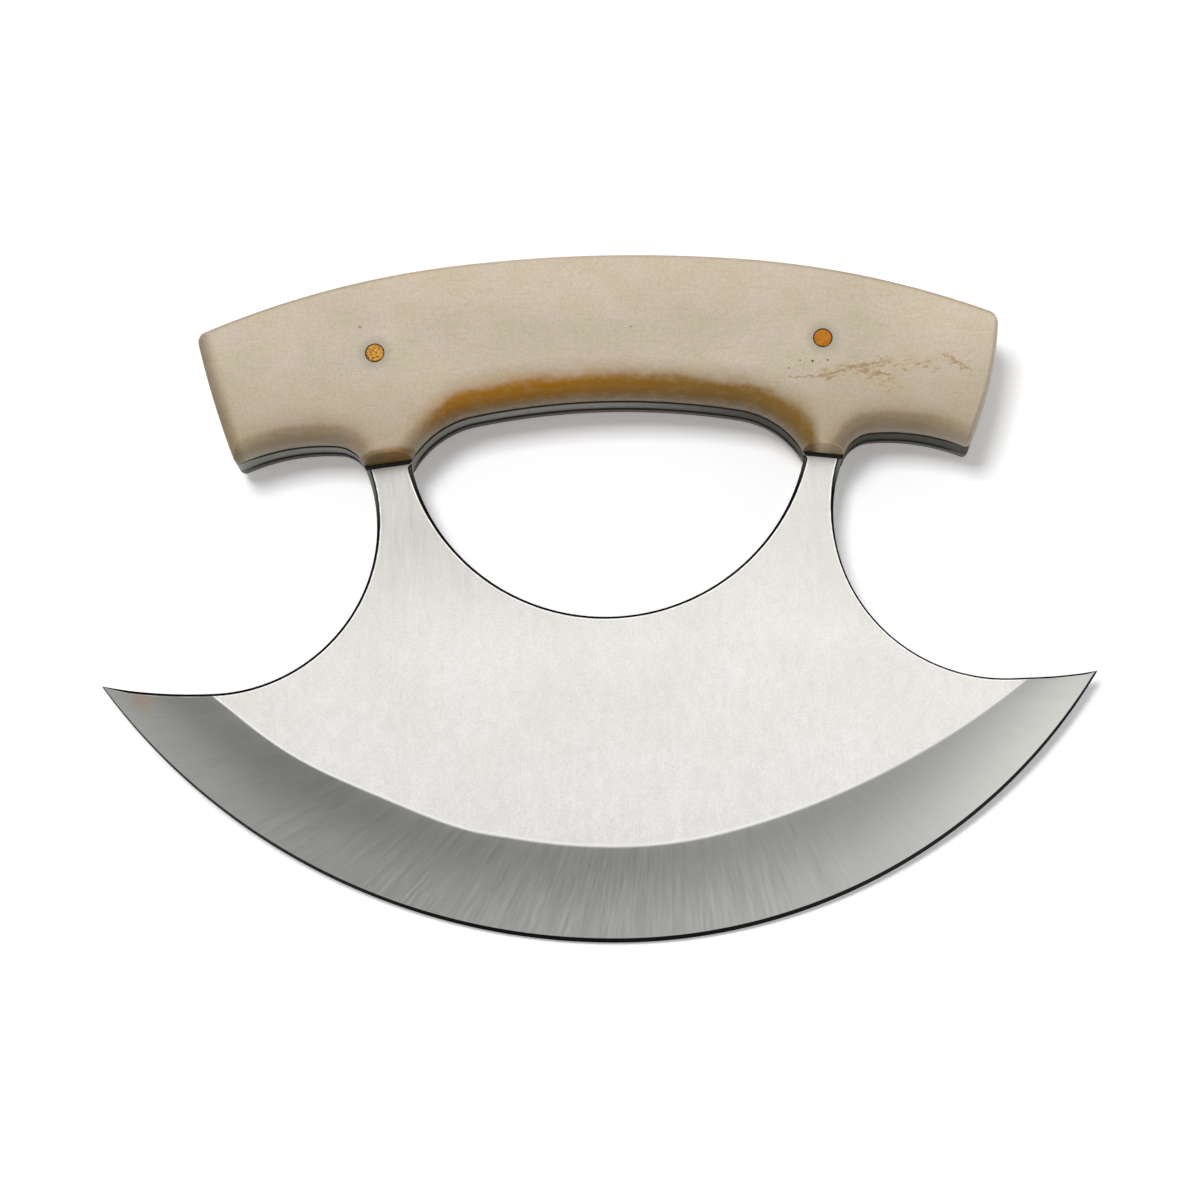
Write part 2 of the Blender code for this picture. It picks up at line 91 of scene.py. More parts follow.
GRIND_HEIGHT = 0.01545
GRIND_RADIUS = {LEFT: 0.0950, RIGHT: 0.0700}
GRIND_BEND = {LEFT: 0.0280, RIGHT: 0.0160}
OUTER_GRIND_RADIUS = {LEFT: 0.1100, RIGHT: 0.1300}
GRIND_BLEND = 0.00035
GRIND_SUPPORT = 0.00020
GRIND_WAVE_HEIGHT = 0.00030
GRIND_WAVE_LENGTH = 0.0310
GRIND_WAVE_TOP = -0.0375
GRIND_WAVE_ENDS = (-0.0645, -0.0120)
GRIND_WAVE_FADES = (0.0040, 0.0120)
SHARPENING_WIDTHS = (0.00042, 0.00068, 0.00056)
SHARPENING_CREASE = 0.00004
THICKNESS_BEHIND_EDGE = 0.0004
EDGE_LAND = 0.00004

NOTCH_HEIGHT = 0.07025
NOTCH_RADIUS = {LEFT: 0.0278, RIGHT: 0.0281}
NOTCH_ACROSS = {LEFT: 0.0657, RIGHT: 0.0668}
NOTCH_TOP_RADIUS = 0.0055
ARCH_TOP = NOTCH_HEIGHT + 0.01415
ARCH_RADIUS = 0.0340
ARCH_ACROSS = 0.0475
HANDLE_RISE = 0.0312
HANDLE_TOP = ARCH_TOP + HANDLE_RISE
CROWN_RADIUS = 0.2400
CROWN_HALF_WIDTH = 0.0250
CROWN_END_RADIUS = 0.1500
HEAD_REACH = {LEFT: 0.0682, RIGHT: 0.0674}
HEAD_CORNER = {LEFT: 0.0012, RIGHT: 0.0022}
END_BULGE = {LEFT: 0.0004, RIGHT: 0.0011}
FOOT_HALF_WIDTH = 0.0616
FOOT_CORNER = 0.0009

OPENING_HEIGHT = NOTCH_HEIGHT + 0.01765
OPENING_RADIUS = 0.03385
OPENING_SHIFT = 0.0010
OPENING_CORNER = 0.0025
GRIP_TOP = OPENING_HEIGHT + 0.0031
GRIP_RADIUS = 0.1220
GRIP_END_RADIUS = 0.0155
GRIP_END_ACROSS = 0.0195

NECK_HEIGHT = NOTCH_HEIGHT + 0.01065
NECK_SLOPE = 0.12
NECK_ROUNDING = 0.0005
PIN_RADIUS = 0.003175 / 2
PIN_CLEARANCE = 0.00003
PIN_HALF_SPACING = 0.0376
PIN_HEIGHT = {LEFT: ARCH_TOP + HANDLE_RISE * 0.465, RIGHT: ARCH_TOP + HANDLE_RISE * 0.487}
GLUE_THICKNESS = 0.0002
GLUE_GAP = 0.00001
SCALE_THICKNESS = 0.0055
SCALE_SEAT = HALF_PLATE + GLUE_THICKNESS + 2 * GLUE_GAP
SCALE_FACE = SCALE_SEAT + SCALE_THICKNESS

LONG_ARC_STEPS = 96
ARC_STEPS = 28
CORNER_STEPS = 10
EASING_STEPS = 8
ROUND_STEPS = 64

# How the CAD model lies: tipped up until the grind line and the neck ends of the rear scale touch the
# table, in the place that its left pin shows.
tilt = np.arctan2(SCALE_FACE - HALF_PLATE, NECK_HEIGHT + NECK_ROUNDING - GRIND_HEIGHT)
lie_down = np.array([[1, 0, 0], [0, np.cos(tilt), -np.sin(tilt)], [0, np.sin(tilt), np.cos(tilt)]])
pin_low, pin_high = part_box("left_pin")
pin_middle = (np.array(pin_low) + np.array(pin_high)) / 2
knife_place = pin_middle - lie_down @ np.array([-PIN_HALF_SPACING, PIN_HEIGHT[LEFT], 0])


def point(u, v):
    return np.array([u, v])


def touch(centre, radius, other):
    """The point of a circle that lies in the direction of another point."""
    away = other - centre
    return centre + away * radius / np.hypot(*away)


def meeting(first, first_radius, second, second_radius, near):
    """Where two circles cross, on the side of a nearby point: along the line between the centres by the
    law of cosines, then square to it by what is left of the radius."""
    away = second - first
    span = np.hypot(*away)
    along = (span**2 + first_radius**2 - second_radius**2) / (2 * span)
    across = np.sqrt(max(first_radius**2 - along**2, 0))
    ahead = away / span
    side = point(-ahead[1], ahead[0])
    if np.dot(near - first, side) < 0:
        side = -side
    return first + ahead * along + side * across


def line_meets_circle(start, direction, centre, radius, near):
    """Where a straight line crosses a circle, whichever crossing is nearer to a given point."""
    ahead = direction / np.hypot(*direction)
    foot = start + ahead * np.dot(centre - start, ahead)
    reach = np.sqrt(max(radius**2 - np.sum((foot - centre) ** 2), 0))
    crossings = [foot - ahead * reach, foot + ahead * reach]
    return min(crossings, key=lambda crossing: np.hypot(*(crossing - near)))


def arc(centre, radius, start, end, turn, steps):
    """Points of an arc, centre plus radius times (cos, sin) of evenly spaced angles, from one direction
    to another: turn is 1 anticlockwise and -1 clockwise."""
    first = np.arctan2(*(start - centre)[::-1])
    last = np.arctan2(*(end - centre)[::-1])
    sweep = (turn * (last - first)) % (2 * np.pi)
    angles = first + turn * np.linspace(0, sweep, steps + 1)
    return centre + radius * np.stack([np.cos(angles), np.sin(angles)], axis=1)


def joined(*runs):
    """Runs of points one after the other, without the repeated point where two runs meet."""
    kept = [run[:-1] for run in runs[:-1]] + [runs[-1]]
    return np.concatenate(kept)


def mirrored(points):
    return points[::-1] * (-1, 1)


def eased_step(values):
    """0 below 0, 1 above 1, and 3x^2 - 2x^3 between."""
    values = np.clip(values, 0, 1)
    return values * values * (3 - 2 * values)


# The outlines: either side is drawn on the right with its own sizes, and mirrored if it is the left one.
def crown():
    """Centres of the handle's long top arc and of the tighter arc that ends it on the right."""
    middle = point(0, HANDLE_TOP - CROWN_RADIUS)
    bend = np.arcsin(CROWN_HALF_WIDTH / CROWN_RADIUS)
    return middle, middle + (CROWN_RADIUS - CROWN_END_RADIUS) * point(np.sin(bend), np.cos(bend))


def arch():
    """Centre of the shallow arch under the handle's foot, and the point where the arch peaks."""
    peak = point(ARCH_ACROSS, ARCH_TOP)
    return peak - point(0, ARCH_RADIUS), peak


def handle_end(side):
    """Centre and radius of the handle's bulging end, an arc through its foot and its head whose height
    over the straight line between them is the bulge."""
    under, _ = arch()
    shoulder = crown()[1]
    reach, bulge = HEAD_REACH[side], END_BULGE[side]
    foot = point(FOOT_HALF_WIDTH, under[1] + np.sqrt(ARCH_RADIUS**2 - (FOOT_HALF_WIDTH - under[0]) ** 2))
    head = point(reach, shoulder[1] + np.sqrt(CROWN_END_RADIUS**2 - (reach - shoulder[0]) ** 2))
    chord = head - foot
    length = np.hypot(*chord)
    radius = (length**2 / 4 + bulge**2) / (2 * bulge)
    outwards = point(chord[1], -chord[0]) / length
    return (foot + head) / 2 - outwards * (radius - bulge), radius, foot, head


def notch(side):
    """Centre and radius of the round notch between the blade's shoulder and the handle's foot."""
    return point(NOTCH_ACROSS[side], NOTCH_HEIGHT), NOTCH_RADIUS[side]


def notch_top(side):
    """Centre of the small arc that joins the notch to the arch under the foot."""
    under, peak = arch()
    centre, radius = notch(side)
    return meeting(centre, radius - NOTCH_TOP_RADIUS, under, ARCH_RADIUS - NOTCH_TOP_RADIUS, peak)


Insets = namedtuple("Insets", "grip left_end right_end crown neck")


def handle_side(side, insets, start):
    """One side of the handle's outline, from a point on the notch's top arc, along the arch, round the
    foot and up the end to the crown: arcs that touch, each radius changed by that part's inset."""
    under, _ = arch()
    shoulder = crown()[1]
    end, end_radius, foot, head = handle_end(side)
    top = notch_top(side)
    end_inset = insets.right_end if side == RIGHT else insets.left_end
    foot_corner = max(FOOT_CORNER - min(insets.grip, end_inset), SMALLEST_CORNER)
    head_corner = max(HEAD_CORNER[side] - min(end_inset, insets.crown), SMALLEST_CORNER)
    arch_radius = ARCH_RADIUS + insets.grip
    end_radius = end_radius - end_inset
    crown_radius = CROWN_END_RADIUS - insets.crown
    foot_centre = meeting(end, end_radius - foot_corner, under, arch_radius + foot_corner, foot)
    head_centre = meeting(end, end_radius - head_corner, shoulder, crown_radius - head_corner, head)
    arch_start = touch(under, arch_radius, top)
    arch_end = touch(under, arch_radius, foot_centre)
    end_start = touch(end, end_radius, foot_centre)
    end_stop = touch(end, end_radius, head_centre)
    crown_start = touch(shoulder, crown_radius, head_centre)
    return joined(
        arc(top, NOTCH_TOP_RADIUS + insets.grip, start, arch_start, -1, CORNER_STEPS),
        arc(under, arch_radius, arch_start, arch_end, -1, ARC_STEPS),
        arc(foot_centre, foot_corner, arch_end, end_start, 1, CORNER_STEPS),
        arc(end, end_radius, end_start, end_stop, 1, ARC_STEPS),
        arc(head_centre, head_corner, end_stop, crown_start, 1, CORNER_STEPS),
    )


def crown_line(inset, start, end):
    """The crown from right to left: its end arc, its long middle arc and its other end arc."""
    middle, shoulder = crown()
    radius, end_radius = CROWN_RADIUS - inset, CROWN_END_RADIUS - inset
    bend = touch(middle, radius, shoulder)
    return joined(
        arc(shoulder, end_radius, start, bend, 1, ARC_STEPS),
        arc(middle, radius, bend, bend * (-1, 1), 1, ARC_STEPS),
        arc(shoulder * (-1, 1), end_radius, bend * (-1, 1), end, 1, ARC_STEPS),
    )


def opening_centres(side):
    """Centres of the finger opening's bowl, of its long grip arc, of the arc that ends the grip on one
    side, and of the corner where that arc turns into the bowl."""
    bowl = point(side * OPENING_SHIFT, OPENING_HEIGHT)
    grip = point(side * OPENING_SHIFT, GRIP_TOP - GRIP_RADIUS)
    rise = np.sqrt((GRIP_RADIUS - GRIP_END_RADIUS) ** 2 - GRIP_END_ACROSS**2)
    grip_end = grip + point(GRIP_END_ACROSS, rise)
    beside = bowl + point(OPENING_RADIUS, 0)
    radii = OPENING_RADIUS - OPENING_CORNER, GRIP_END_RADIUS - OPENING_CORNER
    corner = meeting(bowl, radii[0], grip_end, radii[1], beside)
    return bowl, grip, grip_end, corner


def grip_side(side, inset, start):
    """The grip's end arc on one side, from a given point on it to where the long grip arc begins."""
    _, grip, grip_end, _ = opening_centres(side)
    stop = touch(grip, GRIP_RADIUS + inset, grip_end)
    return arc(grip_end, GRIP_END_RADIUS + inset, start, stop, 1, ARC_STEPS)


def grip_line(inset, start, end):
    grip = opening_centres(RIGHT)[1]
    return arc(grip, GRIP_RADIUS + inset, start, end, 1, LONG_ARC_STEPS // 2)


def opening_outline():
    """The finger opening as a closed ring of touching arcs, anticlockwise from the bowl's left end."""
    bowl = opening_centres(RIGHT)[0]
    bowl_ends, corners, sides = {}, {}, {}
    for side in (LEFT, RIGHT):
        centre, _, grip_end, corner = opening_centres(side)
        bowl_ends[side] = touch(centre, OPENING_RADIUS, corner)
        corner_end = touch(grip_end, GRIP_END_RADIUS, corner)
        corners[side] = arc(corner, OPENING_CORNER, bowl_ends[side], corner_end, 1, CORNER_STEPS)
        sides[side] = grip_side(side, 0, corner_end)
    ring = joined(
        arc(bowl, OPENING_RADIUS, bowl_ends[LEFT] * (-1, 1), bowl_ends[RIGHT], 1, LONG_ARC_STEPS),
        corners[RIGHT],
        sides[RIGHT],
        grip_line(0, sides[RIGHT][-1], sides[LEFT][-1] * (-1, 1)),
        mirrored(sides[LEFT]),
        mirrored(corners[LEFT]),
    )
    return ring[:-1]


def edge_line(side):
    """The cutting edge from its lowest point to one tip, and that tip."""
    radius = EDGE_RADIUS[side]
    centre = point(side * EDGE_SHIFT, radius)
    back_centre, back_radius, shoulder = back(side)
    tip = meeting(centre, radius, back_centre, back_radius, shoulder)
    return arc(centre, radius, point(side * EDGE_SHIFT, 0), tip, 1, 4 * LONG_ARC_STEPS), tip


def back(side):
    """Centre and radius of the wide arc that is the blade's back, and the notch's lowest point, where it
    starts."""
    hollow, hollow_radius = notch(side)
    shoulder = hollow - point(0, hollow_radius)
    return shoulder + point(0, BACK_RADIUS[side]), BACK_RADIUS[side], shoulder


def grind_line(side):
    """The line where the flat turns into the bevel, from the middle to the eased edge of the back or, if
    it meets the notch first, of the notch: an arc that bends into a flatter one. Then the point of the
    plate's outline where it ends, and whether that is on the notch."""
    back_centre, back_radius, shoulder = back(side)
    hollow, hollow_radius = notch(side)
    radius, outer_radius = GRIND_RADIUS[side], OUTER_GRIND_RADIUS[side]
    turn = np.arcsin(GRIND_BEND[side] / radius)
    middle = point(side * EDGE_SHIFT, GRIND_HEIGHT + radius)
    bend = middle + radius * point(np.sin(turn), -np.cos(turn))
    outer = touch(bend, outer_radius, middle)
    end = meeting(outer, outer_radius, back_centre, back_radius + EASED_EDGE[side], shoulder)
    foot = touch(back_centre, back_radius, end)
    on_notch = end[0] < shoulder[0]
    if on_notch:
        end = meeting(outer, outer_radius, hollow, hollow_radius + EASED_EDGE[side], shoulder)
        foot = touch(hollow, hollow_radius, end)
    line = joined(
        arc(middle, radius, middle - point(0, radius), bend, 1, 2 * LONG_ARC_STEPS),
        arc(outer, outer_radius, bend, end, 1, 4 * LONG_ARC_STEPS),
    )
    return line, foot, on_notch


def hollow_side(side):
    """The blade's back and the notch from the tip to the notch's top arc, in two parts that meet where
    the grind line ends. Both curve inwards, so their normals into the plate point away from the centres."""
    _, foot, on_notch = grind_line(side)
    shoulder = back(side)[2]
    top_start = touch(notch(side)[0], notch(side)[1], notch_top(side))

    def run(circle, start, end):
        points = arc(circle[0], circle[1], start, end, -1, LONG_ARC_STEPS)
        return np.concatenate([points, (points - circle[0]) / circle[1]], axis=1)

    if on_notch:
        outer = joined(run(back(side), edge_line(side)[1], shoulder), run(notch(side), shoulder, foot))
        return outer, run(notch(side), foot, top_start)
    inner = joined(run(back(side), foot, shoulder), run(notch(side), shoulder, top_start))
    return run(back(side), edge_line(side)[1], foot), inner


def lengths_along(points):
    return np.concatenate([[0], np.cumsum(np.hypot(*np.diff(points, axis=0).T))])


def evenly(points, shares):
    """The same line at given shares of its length, from 0 to 1."""
    along = lengths_along(points)
    places = shares * along[-1]
    return np.stack([np.interp(places, along, values) for values in points.T], axis=1)


MERGE_DISTANCE = 0.0000005
SHARP_EDGE = np.radians(50)


class Shell:
    """Grids of points and faces that are gathered and then become one closed mesh."""

    def __init__(self):
        self.points, self.faces, self.marks, self.count = [], [], {}, 0

    def add_grid(self, u, v, w, closed=False, flipped=False, **marks):
        """Adds a surface given as whole arrays u, v, w of rows by columns, one quad between each four
        neighbours. A closed one joins its last column to its first. Marks are values kept on points."""
        rows, columns = u.shape
        number = self.count + np.arange(rows * columns).reshape(rows, columns)
        if closed:
            number = np.concatenate([number, number[:, :1]], axis=1)
        quads = np.stack([number[:-1, :-1], number[:-1, 1:], number[1:, 1:], number[1:, :-1]], axis=-1)
        quads = quads.reshape(-1, 4)
        self.faces.append(quads[:, ::-1] if flipped else quads)
        self.points.append(np.stack([u, v, w], axis=-1).reshape(-1, 3))
        for name, values in marks.items():
            kept = self.marks.setdefault(name, [])
            kept.append((self.count, np.broadcast_to(values, u.shape).reshape(-1)))
        self.count += rows * columns

    def finish(self, name, flats, material, node):
        """Merges the grids where they meet, fills the flat faces at the given heights and the last small
        holes, lays the piece down and puts it in the scene in place of a CAD node."""
        mesh = bpy.data.meshes.new(name)
        mesh.from_pydata(np.concatenate(self.points), [], np.concatenate(self.faces).tolist())
        for mark, kept in self.marks.items():
            values = np.zeros(self.count, np.float32)
            for start, part in kept:
                values[start : start + len(part)] = part
            mesh.attributes.new(mark, "FLOAT", "POINT").data.foreach_set("value", values)
        shape = bmesh.new()
        shape.from_mesh(mesh)
        bmesh.ops.remove_doubles(shape, verts=shape.verts, dist=MERGE_DISTANCE)
        for height in flats:
            rim = [
                edge
                for edge in shape.edges
                if edge.is_boundary and all(abs(end.co.z - height) < MERGE_DISTANCE for end in edge.verts)
            ]
            bmesh.ops.triangle_fill(shape, use_beauty=True, edges=rim)
        bmesh.ops.holes_fill(shape, edges=[edge for edge in shape.edges if edge.is_boundary], sides=0)
        bmesh.ops.recalc_face_normals(shape, faces=shape.faces)
        shape.transform(Matrix.Translation(knife_place) @ Matrix(lie_down).to_4x4())
        shape.to_mesh(mesh)
        shape.free()
        placed = np.empty(3 * len(mesh.vertices), np.float32)
        mesh.vertices.foreach_get("co", placed)
        mesh.vertices.foreach_set("co", placed.reshape(-1, 3).clip(*cad_box).reshape(-1))
        mesh.shade_smooth()
        mesh.set_sharp_from_angle(angle=SHARP_EDGE)
        mesh.materials.append(material)
        piece = bpy.data.objects.new(name, mesh)
        bpy.context.scene.collection.objects.link(piece)
        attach(piece, "root")
        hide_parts(node)


def inward_normals(path, closed):
    """Unit normals on the left of a path, from the differences between each point's neighbours."""
    if closed:
        ahead = np.roll(path, -1, axis=0) - np.roll(path, 1, axis=0)
    else:
        ahead = np.gradient(path, axis=0)
    ahead /= np.hypot(*ahead.T)[:, None]
    return np.stack([-ahead[:, 1], ahead[:, 0]], axis=1)


def add_eased_rim(shell, path, normals, half, easing, closed):
    """The plate's wall along a path with a quarter round at either face: at the turn a from the flat
    (a = 0) to the wall (a = 90 degrees) a point lies inside the path by easing times (1 - sin a) and
    below the flat by easing times (1 - cos a). Marked are how far round a point is, from 0 to 1, what is
    wall, and where the round is wide enough to show grey."""
    turns = np.linspace(0, np.pi / 2, EASING_STEPS + 1)[:, None]
    inset = easing * (1 - np.sin(turns))
    height = half - easing * (1 - np.cos(turns))
    shares = np.array([0.9, 0.7, 0.0, -0.7, -0.9])[:, None]
    wall = (half - easing) * shares
    inset = np.concatenate([inset, 0 * wall, inset[::-1]])
    height = np.concatenate([height, wall, -height[::-1]])
    rim = np.concatenate([2 * turns / np.pi, 0 * shares + 1, 2 * turns[::-1] / np.pi])
    side = np.concatenate([0 * turns, 1 - 0 * shares, 0 * turns])
    wide = np.clip((easing - GREY_EASING) / GREY_EASING_FADE, 0, 1)
    u, v = path[:, 0] + normals[:, 0] * inset, path[:, 1] + normals[:, 1] * inset
    shell.add_grid(u, v, height, closed, rim=rim, wall=side, wide=wide)


def add_supports(shell, path, normals, easing, closed):
    """Narrow strips of flat face beside the eased edge, so that its shading stays on it. They carry the
    painted glint beside the edge, which fades out at the necks.
    """
    inset = np.concatenate([[0], EASED_SUPPORTS])[:, None] + easing
    glint = np.array([[0.9], [0.6], [0]]) * eased_step((NECK_HEIGHT - path[:, 1]) / 0.0015)
    for face in (1, -1):
        height = np.full((len(inset), len(path)), face * HALF_PLATE)
        u, v = path[:, 0] + normals[:, 0] * inset, path[:, 1] + normals[:, 1] * inset
        shell.add_grid(u, v, height, closed, glint=glint)


def add_pin_holes(shell, low, high, radius):
    turns = np.linspace(0, 2 * np.pi, ROUND_STEPS, endpoint=False)
    for side, height in PIN_HEIGHT.items():
        u = side * PIN_HALF_SPACING + radius * np.cos(turns)
        v = height + radius * np.sin(turns)
        levels = np.array([[low], [high]]) + 0 * turns
        shell.add_grid(u + 0 * levels, v + 0 * levels, levels, closed=True)


def easing_at(v, narrow, widest):
    """The plate's eased edge at a height: narrow round the blade, it widens up the legs and shrinks to
    almost nothing under the scales, where the bone is flush with it."""
    climb = np.clip((v - EASING_WIDENS_AT) / (NECK_HEIGHT - EASING_WIDENS_AT), 0, 1)
    below = narrow + (widest - narrow) * climb**1.6
    return TANG_EASED_EDGE + (below - TANG_EASED_EDGE) * eased_step((NECK_HEIGHT + 0.0002 - v) / 0.0007)


# The bevel's grid: columns from the left tip to the right one, closer together near the tips, and rows
# from the cutting edge over the sharpening bevel and the wide bevel to just past the grind line.
TIP_SHARES = np.array([0, 0.0006, 0.0022, 0.005])
TIP_POWER = 12
across_shares = np.concatenate([TIP_SHARES, np.linspace(0.01, 0.99, 281), 1 - TIP_SHARES[::-1]])
halves = {side: (edge_line(side)[0], grind_line(side)[0]) for side in (LEFT, RIGHT)}
cutting_edge = joined(mirrored(halves[LEFT][0]), halves[RIGHT][0])
grind = joined(mirrored(halves[LEFT][1]), halves[RIGHT][1])
edge_points = evenly(cutting_edge, across_shares)
grind_points = evenly(grind, across_shares)

# Left of the middle the grind line waves a little: a cosine of u that fades in and out.
across = grind_points[:, 0]
wave = np.cos(2 * np.pi * (across - GRIND_WAVE_TOP) / GRIND_WAVE_LENGTH)
fade = eased_step((GRIND_WAVE_ENDS[1] - across) / GRIND_WAVE_FADES[1])
fade = fade * eased_step((across - GRIND_WAVE_ENDS[0]) / GRIND_WAVE_FADES[0])
grind_points[:, 1] += GRIND_WAVE_HEIGHT * wave * fade

reach = np.hypot(*(grind_points - edge_points).T)
hollows = {side: hollow_side(side) for side in (LEFT, RIGHT)}
for side, place in ((LEFT, 0), (RIGHT, -1)):
    reach[place] = lengths_along(hollows[side][0][:, :2])[-1]

sharpened = np.interp(across_shares, (0, 0.5, 1), SHARPENING_WIDTHS)
bevel_start = sharpened + SHARPENING_CREASE
bevel_shares = np.linspace(0, 1, 14)[1:-1]
grind_offsets = np.array([-1, -0.5, 0, 0.5, 1]) * GRIND_BLEND
from_edge = np.concatenate(
    [
        np.array([0, 0.5])[:, None] * sharpened,
        sharpened - SHARPENING_CREASE + np.array([0, 1, 2])[:, None] * SHARPENING_CREASE,
        bevel_start + (reach - GRIND_BLEND - sharpened - SHARPENING_CREASE) * bevel_shares[:, None],
        reach + grind_offsets[:, None],
        reach[None] + GRIND_BLEND + GRIND_SUPPORT,
    ]
)

# Half the plate's thickness at each row: it grows evenly over the sharpening bevel and over the wide
# bevel, and a parabola rounds the wide bevel into the flat.
slope = (HALF_PLATE - THICKNESS_BEHIND_EDGE / 2) / (reach - sharpened)
on_facet = EDGE_LAND / 2 + from_edge / sharpened * (THICKNESS_BEHIND_EDGE - EDGE_LAND) / 2
on_bevel = THICKNESS_BEHIND_EDGE / 2 + (from_edge - sharpened) * slope
before_flat = np.clip(reach + GRIND_BLEND - from_edge, 0, 2 * GRIND_BLEND)
near_flat = HALF_PLATE - slope * before_flat**2 / (4 * GRIND_BLEND)
half_thickness = np.where(from_edge < sharpened, on_facet, on_bevel)
half_thickness = np.where(from_edge > reach - GRIND_BLEND, near_flat, half_thickness)


def side_of_plate(side, place):
    """One side of the plate's outline from the tip to the crown: points, normals into the plate, half
    thickness and easing. It starts with a point for each of the bevel's rows."""
    path = joined(*hollows[side])
    along = lengths_along(path[:, :2])
    rows = from_edge[:, place]
    at_rows = np.stack([np.interp(rows, along, path[:, column]) for column in range(4)], axis=1)
    rest = path[along > rows[-1] + 0.0001]
    handle = handle_side(side, Insets(0, 0, 0, 0, 0), path[-1, :2])[1:]
    points = np.concatenate([at_rows[:, :2], rest[:, :2], handle]) * (side, 1)
    normals = inward_normals(points, closed=False) * side
    normals[: len(rows)] = at_rows[:, 2:] * (side, 1)
    half = np.concatenate([half_thickness[:, place], np.full(len(points) - len(rows), HALF_PLATE)])
    easing = easing_at(points[:, 1], EASED_EDGE[side], LEG_EASED_EDGE[side])
    return points, normals, half, np.minimum(easing, 0.8 * half)


plate_sides = {LEFT: side_of_plate(LEFT, 0), RIGHT: side_of_plate(RIGHT, -1)}


def bevel_end(side):
    """The inner rim of the eased edge beside the bevel's rows."""
    points, normals, _, easing = plate_sides[side]
    rows = len(from_edge)
    return points[:rows] + normals[:rows] * easing[:rows, None]


# Between edge, grind line and the two backs the rows and columns run as in a Coons patch: the straight
# blend between edge and grind line, plus what the backs differ from that blend at either end. That fades
# with a high power of the share of the way there, so that only the columns near the tips feel it.
share = across_shares[None, :, None]
up = (from_edge / reach)[..., None]
straight = (1 - up) * edge_points + up * grind_points
left_end, right_end = straight[:, :1], straight[:, -1:]
bevel_points = (
    straight
    + (1 - share) ** TIP_POWER * (bevel_end(LEFT)[:, None] - left_end)
    + share**TIP_POWER * (bevel_end(RIGHT)[:, None] - right_end)
)

# Marked on the bevel's points are what is ground, what is sharpening bevel, the painted shine along the
# grind line (a bell curve across it) and the place along and from the edge, in metres, that the scratches
# go by.
steel_shell = Shell()
edge_length = np.hypot(*np.diff(cutting_edge, axis=0).T).sum()
to_flat = eased_step((reach + GRIND_BLEND - from_edge) / (1.2 * GRIND_BLEND))
facet_mark = (from_edge < sharpened + SHARPENING_CREASE / 2).astype(float)
painted_shine_mark = np.exp(-(((from_edge - reach - 0.4 * GRIND_BLEND) / (0.7 * GRIND_BLEND)) ** 2))
painted_shine_mark[-1] = 0
to_flat[-1] = 0
for face in (1, -1):
    steel_shell.add_grid(
        bevel_points[..., 0],
        bevel_points[..., 1],
        face * half_thickness,
        bevel=to_flat,
        facet=facet_mark,
        grind_line=painted_shine_mark,
        along=across_shares * edge_length,
        across=from_edge,
    )
land = np.array([[1], [-1]]) * half_thickness[:1]
u, v = bevel_points[:1, :, 0] + 0 * land, bevel_points[:1, :, 1] + 0 * land
steel_shell.add_grid(u, v, land, bevel=1, facet=1)

# The rim from the right tip over the back, the notch, the handle and the crown to the left tip.
rows = len(from_edge)
right_part, left_part = plate_sides[RIGHT], plate_sides[LEFT]
crown_run = crown_line(0, right_part[0][-1], left_part[0][-1])[1:-1]
middle_part = (
    crown_run,
    inward_normals(crown_run, closed=False),
    np.full(len(crown_run), HALF_PLATE),
    np.full(len(crown_run), TANG_EASED_EDGE),
)
parts = zip(right_part, middle_part, left_part)
whole = [np.concatenate([right, middle, left[::-1]]) for right, middle, left in parts]
add_eased_rim(steel_shell, *whole, closed=False)
upper, upper_normals, _, upper_easing = [part[rows - 1 : 1 - rows] for part in whole]
add_supports(steel_shell, upper, upper_normals, upper_easing, closed=False)

opening = opening_outline()
opening_normals = -inward_normals(opening, closed=True)
opening_easing = easing_at(opening[:, 1], OPENING_LOW_EASED_EDGE, OPENING_EASED_EDGE)
opening_half = np.full(len(opening), HALF_PLATE)
add_eased_rim(steel_shell, opening, opening_normals, opening_half, opening_easing, closed=True)
add_supports(steel_shell, opening, opening_normals, opening_easing, closed=True)
add_pin_holes(steel_shell, -HALF_PLATE, HALF_PLATE, PIN_RADIUS + PIN_CLEARANCE)


def set_inputs(node, inputs):
    """Gives a node's inputs their values, or joins them to the outputs of other nodes."""
    for name, value in inputs.items():
        socket = node.inputs[name]
        if isinstance(value, Value):
            node.id_data.links.new(value.socket, socket)
        elif socket.type == "RGBA":
            socket.default_value = (*value, 1)
        else:
            socket.default_value = value


def add_node(tree, kind, inputs=None, **settings):
    node = tree.nodes.new(kind)
    for name, value in settings.items():
        setattr(node, name, value)
    set_inputs(node, inputs or {})
    return node


def add_value(tree, kind, inputs=None, output=0, **settings):
    return Value(tree, add_node(tree, kind, inputs, **settings).outputs[output])


